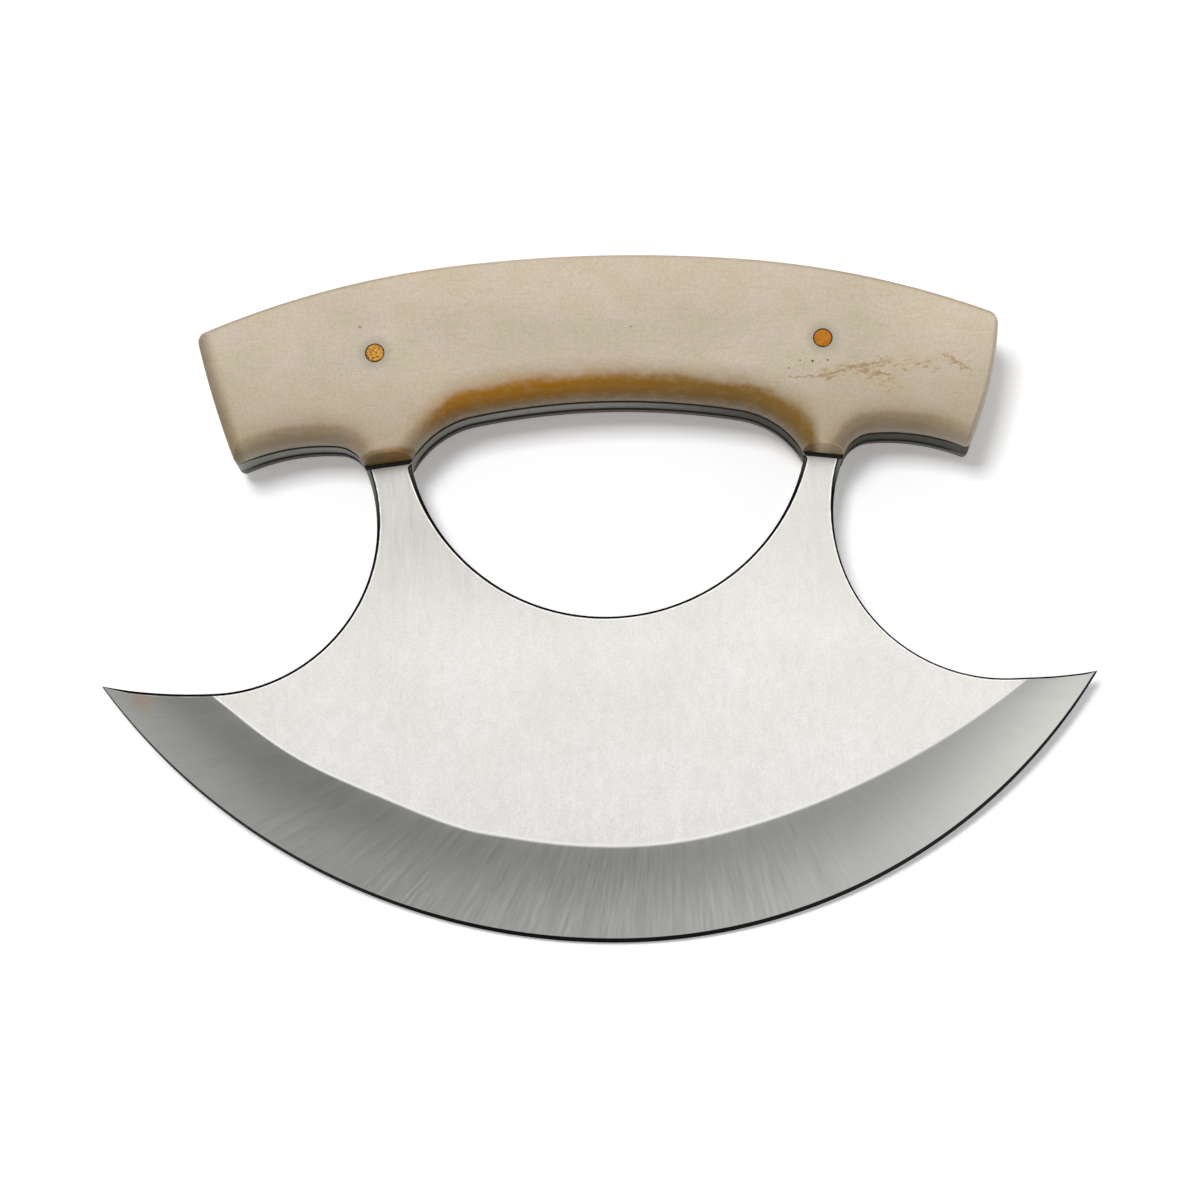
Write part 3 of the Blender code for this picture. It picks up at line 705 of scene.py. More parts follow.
class Value:
    """The output of a node and the steps that lead on from it. Each step adds one node to the same tree,
    whose other inputs are values too, or numbers, vectors or colours."""

    def __init__(self, tree, socket):
        self.tree, self.socket = tree, socket

    def into(self, kind, inputs, output=0, **settings):
        return add_value(self.tree, kind, inputs, output, **settings)

    def arithmetic(self, operation, other=0.0):
        return self.into("ShaderNodeMath", {0: self, 1: other}, operation=operation)

    def __add__(self, other):
        return self.arithmetic("ADD", other)

    def __sub__(self, other):
        return self.arithmetic("SUBTRACT", other)

    def __rsub__(self, other):
        return self.into("ShaderNodeMath", {0: other, 1: self}, operation="SUBTRACT")

    def __mul__(self, other):
        return self.arithmetic("MULTIPLY", other)

    def __truediv__(self, other):
        return self.arithmetic("DIVIDE", other)

    def __abs__(self):
        return self.arithmetic("ABSOLUTE")

    def at_least(self, other):
        return self.arithmetic("MAXIMUM", other)

    def at_most(self, other):
        return self.arithmetic("MINIMUM", other)

    def spread(self, low, high, new_low=0.0, new_high=1.0):
        """The range from low to high stretched to a new range, eased at both ends."""
        inputs = {0: self, 1: low, 2: high, 3: new_low, 4: new_high}
        return self.into("ShaderNodeMapRange", inputs, interpolation_type="SMOOTHSTEP")

    def blend(self, first, second):
        """Two colours mixed, where this value is the share of the second."""
        return self.into("ShaderNodeMix", {0: self, 6: first, 7: second}, 2, data_type="RGBA")

    def times(self, other):
        """This colour multiplied by another."""
        inputs = {0: 1.0, 6: self, 7: other}
        return self.into("ShaderNodeMix", inputs, 2, data_type="RGBA", blend_type="MULTIPLY")

    def vector(self, operation, other=(0, 0, 0), output="Vector"):
        return self.into("ShaderNodeVectorMath", {0: self, 1: other}, output, operation=operation)

    def stretched(self, scales):
        return self.vector("MULTIPLY", scales)

    def axes(self):
        parts = add_node(self.tree, "ShaderNodeSeparateXYZ", {0: self})
        return [Value(self.tree, output) for output in parts.outputs]

    def distance_to(self, u, v):
        """Distance from a point of the knife's plane, whatever the height."""
        return self.stretched((1.0, 1.0, 0.0)).vector("DISTANCE", (u, v, 0), "Value")

    def noise(self, scale, detail, roughness):
        inputs = {"Vector": self, "Scale": scale, "Detail": detail, "Roughness": roughness}
        return self.into("ShaderNodeTexNoise", inputs, "Fac")

    def bumps(self, distance, strength):
        """The normals of a surface that has this value as its height."""
        return self.into("ShaderNodeBump", {"Height": self, "Distance": distance, "Strength": strength})


def knife_coordinates(tree):
    """Object coordinates turned back into the knife's own u, v and w, in metres."""
    place = add_value(tree, "ShaderNodeTexCoord", output="Object")
    inputs = {"Vector": place, "Location": tuple(-lie_down.T @ knife_place), "Rotation": (-tilt, 0, 0)}
    return place.into("ShaderNodeMapping", inputs)


def attribute(tree, name):
    return add_value(tree, "ShaderNodeAttribute", output="Fac", attribute_name=name)


def new_material(name, look, *settings):
    """A material whose shader gets the inputs that a look, a function of the node tree, returns."""
    material = bpy.data.materials.new(name)
    material.use_nodes = True
    tree = material.node_tree
    set_inputs(tree.nodes["Principled BSDF"], look(tree, *settings))
    return material


def make_fine_lines():
    """Node group: long fine scratches of uneven depth. Two noises are stretched along the lines, a fine
    one for single scratches and a coarse one for bands of them, and put out as a value round 0.5."""
    group = bpy.data.node_groups.new("fine_lines", "ShaderNodeTree")
    for name, kind in (("Vector", "Vector"), ("Across", "Float"), ("Along", "Float")):
        group.interface.new_socket(name, in_out="INPUT", socket_type="NodeSocket" + kind)
    group.interface.new_socket("Lines", in_out="OUTPUT", socket_type="NodeSocketFloat")
    entry = group.nodes.new("NodeGroupInput")
    place, across, along = (Value(group, entry.outputs[name]) for name in ("Vector", "Across", "Along"))
    scales = place.into("ShaderNodeCombineXYZ", {"X": across, "Y": along, "Z": 900.0})
    fine = place.stretched(scales).noise(1.0, 4.0, 0.7)
    wide = place.stretched(scales.stretched((0.13, 0.35, 1.0))).noise(1.0, 2.0, 0.5)
    set_inputs(group.nodes.new("NodeGroupOutput"), {"Lines": fine * 0.65 + wide * 0.35})
    return group


fine_lines = make_fine_lines()


def lines_on(vector, across, along):
    inputs = {"Vector": vector, "Across": across, "Along": along}
    return vector.into("ShaderNodeGroup", inputs, "Lines", node_tree=fine_lines)


STAINED_TIP = (-0.0772, 0.0420)
BEVEL_FADE = 0.0150
LEG_HEIGHTS = (0.046, 0.074)
FLUSH_HEIGHTS = (0.0945, 0.0975)


def beyond_foot(x, inside=0.0, outside=1.0):
    """A share that changes where the handle's underside turns into its end."""
    return abs(x).spread(FOOT_HALF_WIDTH, FOOT_HALF_WIDTH + 0.0008, inside, outside)


def steel_look(tree):
    """Brushed flats, painted lighter towards the cutting edge, a darker ground bevel whose scratches run
    square to the edge and painted shade towards its tips, a sharpening bevel and eased edges painted dark
    as reflected shade, a painted glint beside the rims, a painted shine along the grind line, walls painted
    dark as shade, and satin where the tang is ground flush with the bone."""
    place = knife_coordinates(tree)
    x, y, z = place.axes()
    bevel, across, rim, wall = (attribute(tree, name) for name in ("bevel", "across", "rim", "wall"))
    flat_lines = lines_on(place, 4200.0, 160.0)
    ground = across.into("ShaderNodeCombineXYZ", {"X": attribute(tree, "along"), "Y": across, "Z": 0.0})
    bevel_lines = lines_on(ground, 12000.0, 260.0)
    lines = bevel.into("ShaderNodeMix", {0: bevel, 2: flat_lines, 3: bevel_lines}, data_type="FLOAT")
    cloud = place.noise(55.0, 3.0, 0.5)
    fine_cloud = place.stretched((1.0, 0.6, 1.0)).noise(700.0, 4.0, 0.6)
    speckle = place.noise(3000.0, 2.0, 0.6)

    flats = cloud.spread(0.35, 0.65).blend((0.735, 0.715, 0.68), (0.78, 0.765, 0.735))
    # Painted light: the flats are lighter towards the cutting edge.
    flats = y.spread(LEG_HEIGHTS[0], 0.018, 0.0, 0.6).blend(flats, (0.87, 0.86, 0.835))
    on_leg = y.spread(*LEG_HEIGHTS) * x.spread(0.02, -0.02, 0.5, 1.0)
    flats = on_leg.blend(flats, (0.50, 0.485, 0.46))
    flats = fine_cloud.spread(0.30, 0.70, 0.32, 0.0).blend(flats, (0.60, 0.585, 0.555))
    flats = flat_lines.spread(0.36, 0.62, 0.45, 0.0).blend(flats, (0.60, 0.585, 0.55))
    flats = speckle.spread(0.34, 0.62, 0.22, 0.0).blend(flats, (0.42, 0.41, 0.38))

    bevels = across.spread(0.0, BEVEL_FADE).blend((0.725, 0.725, 0.69), (0.45, 0.455, 0.43))
    # Painted shade: the bevel is darker towards both tips.
    painted_tip_shade = abs(x).spread(0.008, 0.056, 0.0, 0.32)
    bevels = bevels.times(painted_tip_shade.blend((1.0, 1.0, 1.0), (0.30, 0.30, 0.29)))
    bevels = bevels.times(bevel_lines.spread(0.34, 0.66).blend((0.90, 0.90, 0.895), (1.0, 1.0, 1.0)))
    tip_stain = place.distance_to(*STAINED_TIP).spread(0.0004, 0.0032, 0.5, 0.0)
    tip_stain = tip_stain * fine_cloud.spread(0.35, 0.6, 0.5, 1.0)
    bevels = tip_stain.blend(bevels, (0.55, 0.34, 0.20))

    colour = bevel.blend(flats, bevels)
    # Painted highlight: a bright shine along the grind line, weaker on the right.
    painted_shine = attribute(tree, "grind_line") * x.spread(0.02, 0.05, 1.0, 0.4)
    colour = painted_shine.blend(colour, (0.92, 0.91, 0.89))
    # Painted highlight: a glint on the flat just beside the eased edges.
    colour = attribute(tree, "glint").blend(colour, (0.95, 0.945, 0.93))
    # Painted shade: the eased edges are near black, as the shade they mirror.
    colour = rim.spread(0.0, 0.10).blend(colour, (0.008, 0.008, 0.007))
    # Painted reflection: where the round is wide, its middle is grey-green.
    on_round = rim.spread(0.12, 0.35) * rim.spread(0.70, 0.90, 1.0, 0.0) * attribute(tree, "wide")
    colour = on_round.blend(colour, (0.14, 0.15, 0.125))

    # Painted shade: the walls are dark as the shade they lie in and mirror, darker towards the rear face
    # and, less metallic, on the right. Where the tang is ground flush with the bone they are satin instead.
    shaded_walls = cloud.spread(0.3, 0.7).blend((0.11, 0.11, 0.09), (0.16, 0.16, 0.135))
    shaded_walls = z.spread(-0.0005, -0.0020).blend(shaded_walls, (0.05, 0.045, 0.038))
    on_right = x.spread(-0.004, 0.030, 0.0, 0.85)
    shaded_walls = on_right.blend(shaded_walls, (0.07, 0.068, 0.053))
    ground_flush = (beyond_foot(x) * y.spread(0.080, 0.082)).at_least(y.spread(*FLUSH_HEIGHTS))
    satin = cloud.spread(0.3, 0.7).blend((0.34, 0.34, 0.325), (0.44, 0.44, 0.42))
    colour = wall.blend(colour, ground_flush.blend(shaded_walls, satin))
    # Painted reflection: the sharpening bevel is near black as the shade it mirrors, a little lighter at
    # the left tip.
    facets = x.spread(-0.06, -0.02).blend((0.06, 0.06, 0.06), (0.02, 0.02, 0.02))
    colour = attribute(tree, "facet").blend(colour, facets)

    # Painted shade: the dark rims and the shaded walls on the right are less metallic, so that their dark
    # colour shows.
    dark_rim_share = rim.spread(0.0, 0.10) * rim.spread(0.92, 1.0, 1.0, 0.0) - on_round
    shaded_wall_share = wall * (1.0 - ground_flush) * (on_right * 0.9)
    return {
        "Base Color": colour,
        "Roughness": lines.spread(0.3, 0.7, 0.30, 0.42),
        "Metallic": 1.0 - dark_rim_share - shaded_wall_share,
        "Specular IOR Level": 0.0,
        "Normal": lines.bumps(0.00001, bevel.spread(0.0, 1.0, 0.35, 0.17)),
    }


steel = new_material("brushed_stainless_steel", steel_look)
steel_shell.finish("steel_plate", (HALF_PLATE, -HALF_PLATE), steel, "blade_plate")


# Glue beds
# Dark epoxy between the tang and each scale. It shows as a thin black line all round the handle, and
# where it was squeezed out under the neck ends it stands as a small bead on the steel. The bead is partly
# glue and partly painted shade: it is wider than the glue, so its black also stands for the shadow in the
# gap under the scale's edges and neck ends.


def scale_outline(insets):
    """A scale's outline as a closed ring: round the handle from neck to neck, the cut across the left
    neck, the underside above the finger opening and the cut across the right neck."""
    outer, inner = {}, {}
    for side in (LEFT, RIGHT):
        hollow, radius = notch(side)
        neck = point(hollow[0] - radius, NECK_HEIGHT + insets.neck)
        across = point(-1, NECK_SLOPE)
        start = line_meets_circle(neck, across, notch_top(side), NOTCH_TOP_RADIUS + insets.grip, neck)
        outer[side] = handle_side(side, insets, start)
        grip_end = opening_centres(side)[2]
        end = line_meets_circle(neck, across, grip_end, GRIP_END_RADIUS + insets.grip, neck)
        inner[side] = grip_side(side, insets.grip, end)
    crown_part = crown_line(insets.crown, outer[RIGHT][-1], outer[LEFT][-1] * (-1, 1))
    grip_part = grip_line(insets.grip, inner[RIGHT][-1], inner[LEFT][-1] * (-1, 1))
    under = joined(inner[RIGHT], grip_part, mirrored(inner[LEFT]))[::-1]
    shares = np.linspace(0, 1, 17)[1:-1, None]
    left_neck = -outer[LEFT][0] * (1, -1)
    left_cut = left_neck + (under[0] - left_neck) * shares
    right_cut = under[-1] + (outer[RIGHT][0] - under[-1]) * shares
    over = joined(outer[RIGHT], crown_part, mirrored(outer[LEFT]))
    return np.concatenate([over, left_cut, under, right_cut])


def scale_rings(insets):
    return np.stack([scale_outline(inset) for inset in insets])


def stack(shell, rings, heights, face):
    """Closed rings one above the other as one grid. Heights are a column for whole rings or a value for
    each point."""
    shell.add_grid(rings[..., 0], rings[..., 1], face * heights + np.zeros(rings.shape[:2]), closed=True)


def epoxy_look(tree):
    """Nearly black cured epoxy, a little glossy, with dusty lighter patches."""
    dust = knife_coordinates(tree).noise(900.0, 4.0, 0.6)
    return {
        "Base Color": dust.spread(0.45, 0.75).blend((0.006, 0.006, 0.005), (0.025, 0.022, 0.016)),
        "Roughness": dust.spread(0.3, 0.7, 0.55, 0.75),
        "Specular IOR Level": 0.2,
        "Normal": dust.bumps(0.00002, 0.5),
    }


epoxy = new_material("dark_epoxy", epoxy_look)
GLUE_LOW = HALF_PLATE + GLUE_GAP
GLUE_HIGH = GLUE_LOW + GLUE_THICKNESS
GLUE_FLUSH = 0.00004
BEAD_FROM = 0.0004
BEAD_SETS_IN = 0.0020
# The bead's cross-section: inset and height where it runs along the underside, then at the necks. Below
# zero an inset stands out from the steel.
BEAD = np.array(
    [
        (GLUE_FLUSH, GLUE_LOW, GLUE_FLUSH, GLUE_LOW),
        (-0.000003, GLUE_LOW, -0.00060, GLUE_LOW),
        (-0.000003, GLUE_LOW - 0.00035, -0.00064, GLUE_LOW + 0.00003),
        (-0.00010, GLUE_LOW - 0.00028, -0.00062, GLUE_LOW + 0.00010),
        (-0.00017, GLUE_LOW - 0.00010, -0.00054, GLUE_LOW + 0.00020),
        (-0.00017, GLUE_HIGH + 0.00004, -0.00038, GLUE_HIGH + 0.00014),
        (-0.00009, GLUE_HIGH + 0.00016, -0.00018, GLUE_HIGH + 0.00024),
        (-0.000003, GLUE_HIGH + 0.00022, -0.000003, GLUE_HIGH + 0.00030),
        (-0.000003, GLUE_HIGH, -0.000003, GLUE_HIGH),
        (GLUE_FLUSH, GLUE_HIGH, GLUE_FLUSH, GLUE_HIGH),
    ]
)


def bead_rings(grips):
    """The outlines of the bead's levels for the given insets along the underside."""
    return scale_rings([Insets(grip, *[GLUE_FLUSH] * 3, neck) for grip, neck in zip(grips, BEAD[:, 2])])


# At the necks the bead has its section for the necks, which turns into the other one a little above.
neck_rings = bead_rings(np.full(len(BEAD), GLUE_FLUSH))
off_neck = eased_step((neck_rings[..., 1] - NECK_HEIGHT - BEAD_FROM) / BEAD_SETS_IN)
bead = neck_rings + (bead_rings(BEAD[:, 0]) - neck_rings) * off_neck[..., None]
bead_heights = BEAD[:, 3:] + (BEAD[:, 1:2] - BEAD[:, 3:]) * off_neck
for label, face in (("front", 1), ("rear", -1)):
    glue = Shell()
    stack(glue, bead, bead_heights, face)
    flats = (face * GLUE_LOW, face * GLUE_HIGH)
    add_pin_holes(glue, *flats, PIN_RADIUS + PIN_CLEARANCE)
    glue.finish(f"{label}_glue_line", flats, epoxy, f"{label}_glue_bed")


# Bone scales
# Slabs of polished shin bone glued on either side of the tang and sanded flush with it. The edges that
# fingers grip have a broad round, the ends, the crown and the necks a narrower one. Round the edges the
# bone is scorched brown by the sanding, and at the right its porous marrow side shows.

GRIP_ROUNDING = 0.0026
LEFT_END_ROUNDING = 0.0020
RIGHT_END_ROUNDING = 0.0010
CROWN_ROUNDING = 0.0008
ROUNDING_DEPTH = 0.0045
ROUNDING_STEPS = 14
WALL_SHARES = np.array([0, 0.15, 0.5, 0.8])
FACE_STEPS = np.array([0.0001, 0.0004, 0.0008])
HOLE_RADIUS = PIN_RADIUS + 2 * PIN_CLEARANCE


def add_scale(label, face, material):
    """One scale: rings from the glue up a straight wall, over a round and in over the flat face. The
    round is a quarter of an ellipse: at the turn a of it a ring lies inside the outline by the round's
    width times (1 - cos a) and below the face by the round's depth times (1 - sin a)."""
    turns = np.linspace(0, np.pi / 2, ROUNDING_STEPS + 1)
    wall = SCALE_FACE - ROUNDING_DEPTH - SCALE_SEAT
    widths = (GRIP_ROUNDING, LEFT_END_ROUNDING, RIGHT_END_ROUNDING, CROWN_ROUNDING, NECK_ROUNDING)
    insets = [Insets(0, 0, 0, 0, 0) for _ in WALL_SHARES]
    insets += [Insets(*(width * (1 - np.cos(turn)) for width in widths)) for turn in turns]
    insets += [Insets(*(width + step for width in widths)) for step in FACE_STEPS]
    over = SCALE_FACE - ROUNDING_DEPTH * (1 - np.sin(turns))
    heights = np.concatenate([SCALE_SEAT + wall * WALL_SHARES, over, np.full(len(FACE_STEPS), SCALE_FACE)])
    shell = Shell()
    stack(shell, scale_rings(insets), heights[:, None], face)
    flats = (face * SCALE_SEAT, face * SCALE_FACE)
    add_pin_holes(shell, *flats, HOLE_RADIUS)
    shell.finish(f"{label}_bone_scale", flats, material, f"{label}_scale")


def curve_of(value, stops):
    """A value that follows straight lines between stops, each a place and a height."""
    ramp = add_node(value.tree, "ShaderNodeValToRGB", {"Fac": value})
    while len(ramp.color_ramp.elements) < len(stops):
        ramp.color_ramp.elements.new(0.5)
    for element, (place, height) in zip(ramp.color_ramp.elements, stops):
        element.position = place
        element.color = (height, height, height, 1)
    return Value(value.tree, ramp.outputs["Color"])


# Streaks of the porous patch: start, end, half width and how far the pores round it reach. The ones
# without width are pores only.
STREAKS = (
    ((0.0322, 0.0929), (0.0394, 0.0930), 0.00026, 0.0004),
    ((0.0380, 0.0935), (0.0440, 0.0945), 0.00048, 0.0016),
    ((0.0440, 0.0945), (0.0490, 0.0955), 0.00044, 0.0018),
    ((0.0430, 0.0940), (0.0486, 0.0928), 0.00042, 0.0016),
    ((0.0580, 0.0961), (0.0594, 0.0947), 0.00040, 0.0012),
    ((0.0594, 0.0947), (0.0618, 0.0935), 0.00030, 0.0010),
    ((0.0500, 0.0946), (0.0560, 0.0944), 0.00000, 0.0016),
    ((0.0455, 0.0912), (0.0500, 0.0910), 0.00000, 0.0009),
)
# Single pores and specks: a place and a radius.
PORES = (
    (0.0337, 0.0958, 0.00013), (0.0358, 0.0956, 0.00022),
    (0.0383, 0.0957, 0.00016), (0.0318, 0.0945, 0.00012),
)
SPECKS = ((-0.0401, 0.1035, 0.00022), (0.0055, 0.1024, 0.00016))


def marrow_marks(place):
    """The porous patch, as masks of its dark streaks and pores, of the reddish tinge round them and of
    its pale flecks. A streak is what lies near a straight line, where noise moves the place a little to
    and fro first and breaks the streak up."""
    flat = place.stretched((1, 1, 0))
    shake = flat.into("ShaderNodeTexNoise", {"Vector": flat, "Scale": 700.0, "Detail": 3.0}, "Color")
    shake = shake.vector("SUBTRACT", (0.5, 0.5, 0.5)).stretched((0.0030, 0.0022, 0))
    shaken = flat.vector("ADD", shake)
    core, near = 0.0, 0.0
    for start, end, half_width, pore_reach in STREAKS:
        run = np.array(end) - start
        length = float(np.hypot(*run))
        unit = (*(run / length), 0)
        rest = shaken.vector("SUBTRACT", (*start, 0))
        along = rest.vector("DOT_PRODUCT", unit, "Value").at_most(length).at_least(0.0)
        foot = along.into("ShaderNodeVectorMath", {0: unit, "Scale": along}, operation="SCALE")
        away = rest.vector("DISTANCE", foot, "Value")
        if half_width:
            core = away.spread(half_width * 0.2, half_width, 1.0, 0.0).at_least(core)
        near = away.spread(0.0, pore_reach, 1.0, 0.0).at_least(near)
    turned = place.into("ShaderNodeMapping", {"Vector": place, "Rotation": (0, 0, np.radians(-14))})
    streaky = turned.stretched((520.0, 1500.0, 1.0)).noise(1.0, 4.0, 0.7)
    core = core * streaky.spread(0.36, 0.56, 0.25, 1.0)
    pores = streaky.spread(0.53, 0.61) * near.spread(0.05, 0.55, 0.0, 0.75)
    tinge = near * streaky.spread(0.35, 0.6, 0.5, 1.0)
    flecks = turned.stretched((0.5, 1.0, 1.0)).noise(2400.0, 2.0, 0.6).spread(0.55, 0.64)
    return core.at_least(pores), tinge, flecks * near.spread(0.0, 0.4)


def beyond_bend(across, up, wide, tight):
    """Distance outside an edge made of a wide arc and, further from the middle of the wide one, a tight
    arc that touches it inside. Each is a centre and a radius, and the nearer arc is the one on whose side
    of the line through both centres the place lies."""
    (wide_u, wide_v), (tight_u, tight_v) = wide[0], tight[0]
    from_wide_u, from_wide_v = across - float(wide_u), up - float(wide_v)
    turn = from_wide_u * float(tight_v - wide_v) - from_wide_v * float(tight_u - wide_u)
    past = turn.arithmetic("GREATER_THAN" if tight_u > wide_u else "LESS_THAN")
    flat = across.into("ShaderNodeCombineXYZ", {"X": across, "Y": up, "Z": 0.0})
    reach = [flat.vector("DISTANCE", (*bend[0], 0), "Value") - float(bend[1]) for bend in (wide, tight)]
    return past.into("ShaderNodeMix", {0: past, 2: reach[0], 3: reach[1]}, data_type="FLOAT")


STAIN_REACH = 0.0066
FOOT_STAIN_REACH = 0.0052
# How brown the band is, from the edge to as far as it reaches: the share of that way, and how brown.
STAIN_BAND = (
    (0.0, 0.86), (0.015, 0.92), (0.05, 0.95), (0.12, 1.0), (0.34, 1.0),
    (0.43, 0.85), (0.54, 0.52), (0.70, 0.26), (1.0, 0.0),
)
# How far across a neck's middle and its inner end are, and between which places the left half of the
# knife turns into the right.
NECK_MIDDLE = 0.0362
NECK_END = 0.0387
MIDDLE = (-0.01, 0.01)


def edge_stain(place):
    """How brown the bone is near its edges, and how golden that brown. Over the finger opening it is a
    wide golden band that turns olive to the right and thins out at the necks, over the feet a fainter
    one, at the necks it covers the lower part of the cut end, at the left end and on the crown it is a
    trace. Last, where painted light makes the cut end of the right neck paler than the face, so that it
    does not look shaded."""
    u, v, w = place.axes()
    across = abs(u)
    _, grip, grip_end, _ = opening_centres(RIGHT)
    shift = point(OPENING_SHIFT, 0)
    over_opening = beyond_bend(
        abs(u - OPENING_SHIFT), v, (grip - shift, GRIP_RADIUS), (grip_end - shift, GRIP_END_RADIUS)
    )
    over_foot = beyond_bend(across, v, (arch()[0], ARCH_RADIUS), (notch_top(RIGHT), NOTCH_TOP_RADIUS))
    over_crown = beyond_bend(across, v, (crown()[0], CROWN_RADIUS), (crown()[1], CROWN_END_RADIUS))
    ragged = place.stretched((0.6, 1.0, 1.0)).noise(240.0, 3.0, 0.55).spread(0.25, 0.75, -0.06, 0.06)
    narrowed = over_opening + u.spread(-0.023, -0.034, 0.0, 0.0030)
    bands = []
    for away, reach in ((narrowed, STAIN_REACH), (over_foot, FOOT_STAIN_REACH)):
        share = away / reach
        bands.append(curve_of(ragged * share.spread(0.1, 0.5) + share, STAIN_BAND))
    thin = v.spread(NECK_HEIGHT + 0.0005, NECK_HEIGHT + 0.0085, 0.30, 1.0).at_least(u.spread(*MIDDLE))
    foot = across.spread(FOOT_HALF_WIDTH + 0.001, FOOT_HALF_WIDTH - 0.009, 0.15, 0.52)
    inner = across.spread(NECK_MIDDLE - 0.0012, NECK_MIDDLE + 0.0012, 1.0, 0.0)
    outer = across.spread(NECK_MIDDLE - 0.0012, NECK_MIDDLE + 0.0012)
    wide = (bands[0] * (inner * thin)).at_least(bands[1] * (outer * foot))

    low = across * NECK_SLOPE + v - (NECK_HEIGHT + NECK_SLOPE * NECK_END)
    cut = abs(w).spread(SCALE_SEAT + 0.0026, SCALE_SEAT + 0.0058, 1.0, 0.85) * u.spread(*MIDDLE, 1.0, 0.14)
    cut = cut * low.spread(0.0005, 0.0016, 1.0, 0.0)
    face_edge = low.spread(0.0002, 0.0022, 0.45, 0.0) * u.spread(*MIDDLE, 1.0, 0.2)
    # Painted light: the right neck's cut end is to be lit up so that it loses its shade.
    painted_neck_light = low.spread(NECK_ROUNDING * 0.7, NECK_ROUNDING * 1.1, 1.0, 0.0) * u.spread(*MIDDLE, 0.0, 0.85)

    end, end_radius, _, _ = handle_end(LEFT)
    from_end = float(end_radius) - place.distance_to(-end[0], end[1])
    left = from_end.spread(0.0, 0.0034, 0.86, 0.0).at_least(from_end.spread(0.0, 0.0018, 1.20, 0.0))
    top = (over_crown * -1.0).spread(0.0003, 0.0013, 0.70, 0.0) * across.spread(0.01, 0.05, 0.6, 1.0)
    amount = wide.at_least(cut.at_least(face_edge)).at_least(left.at_least(top))
    gold = inner * u.spread(0.024, -0.014, 0.30, 1.0) * over_opening.spread(0.0, 0.0007, 0.3, 1.0)
    return amount, gold * low.spread(0.0005, 0.0040, 0.5, 1.0), painted_neck_light


def bone_look(tree):
    """Ivory bone in soft pinkish and yellowish clouds, a little lighter at the top, with faint grain along
    the handle, brown edges, a grey halo round each pin, a few pores and the porous patch at the right."""
    place = knife_coordinates(tree)
    x, y, z = place.axes()
    broad = place.stretched((0.6, 1.0, 1.0)).noise(90.0, 3.0, 0.5)
    blotch = place.stretched((0.7, 1.0, 1.0)).noise(300.0, 5.0, 0.62)
    fine = place.noise(2600.0, 3.0, 0.6)
    grain = place.stretched((0.10, 1.0, 1.0)).noise(2000.0, 3.0, 0.6)

    colour = broad.spread(0.3, 0.7).blend((0.565, 0.500, 0.390), (0.622, 0.548, 0.440))
    colour = y.spread(0.098, 0.082).blend(colour, (0.485, 0.405, 0.298))
    colour = y.spread(0.102, 0.114, 0.0, 0.8).blend(colour, (0.675, 0.585, 0.460))
    light_end = x.spread(0.040, 0.060) * y.spread(0.090, 0.104)
    colour = light_end.blend(colour, (0.690, 0.600, 0.465))
    colour = colour.times(blotch.spread(0.3, 0.7).blend((0.985, 0.975, 0.885), (1.045, 1.01, 1.035)))
    colour = colour.times(fine.spread(0.32, 0.68).blend((0.93, 0.925, 0.91), (1.06, 1.06, 1.06)))
    colour = grain.spread(0.52, 0.75, 0.0, 0.20).blend(colour, (0.36, 0.29, 0.19))
    for side, height in PIN_HEIGHT.items():
        away = place.distance_to(side * PIN_HALF_SPACING, height)
        colour = away.spread(PIN_RADIUS, PIN_RADIUS + 0.0019, 0.45, 0.0).blend(colour, (0.33, 0.31, 0.25))

    stain, gold, painted_neck_light = edge_stain(place)
    # Painted light: the cut end of the right neck is made paler, where it lies in shade.
    colour = painted_neck_light.blend(colour, (0.80, 0.62, 0.41))
    smudge = place.stretched((1.0, 1.6, 1.0)).noise(600.0, 4.0, 0.65)
    stain = stain * smudge.spread(0.25, 0.75, 0.88, 1.15)
    colour = stain.at_most(1.0).blend(colour, gold.blend((0.180, 0.112, 0.028), (0.310, 0.135, 0.004)))
    # Painted shade: below the flush part and inside the feet, the rear scale's wall next to the glue is
    # near black, as the shade under the handle.
    behind = z * -1.0
    painted_rear_shade = behind.spread(SCALE_SEAT + 0.0038, SCALE_SEAT + 0.0028, 0.0, 0.97)
    painted_rear_shade = painted_rear_shade * behind.arithmetic("GREATER_THAN")
    painted_rear_shade = painted_rear_shade * y.spread(*FLUSH_HEIGHTS, 1.0, 0.0) * beyond_foot(x, 1.0, 0.0)
    colour = painted_rear_shade.blend(colour, (0.030, 0.020, 0.013))

    marks, tinge, flecks = marrow_marks(place)
    colour = (tinge * 0.40).blend(colour, (0.54, 0.40, 0.235))
    colour = (flecks * 0.38).blend(colour, (0.78, 0.63, 0.36))
    colour = (marks * 0.72).blend(colour, (0.34, 0.205, 0.085))
    for u, v, radius in PORES:
        pore = place.distance_to(u, v).spread(radius * 0.6, radius * 1.4, 1.0, 0.0)
        colour = pore.blend(colour, (0.10, 0.07, 0.035))
        marks = marks.at_least(pore)
    for u, v, radius in SPECKS:
        speck = place.distance_to(u, v).spread(radius * 0.5, radius * 1.6, 0.7, 0.0)
        colour = speck.blend(colour, (0.24, 0.15, 0.07))
    return {
        "Base Color": colour,
        "Roughness": fine.spread(0.3, 0.7, 0.36, 0.48),
        "Specular IOR Level": 0.25,
        "Subsurface Weight": 0.12,
        "Subsurface Radius": (0.0012, 0.0008, 0.0005),
        "Subsurface Scale": 1.0,
        "Normal": (grain * 0.3 - marks).bumps(0.00005, 0.4),
    }


bone = new_material("polished_bone", bone_look)
add_scale("front", 1, bone)
add_scale("rear", -1, bone)


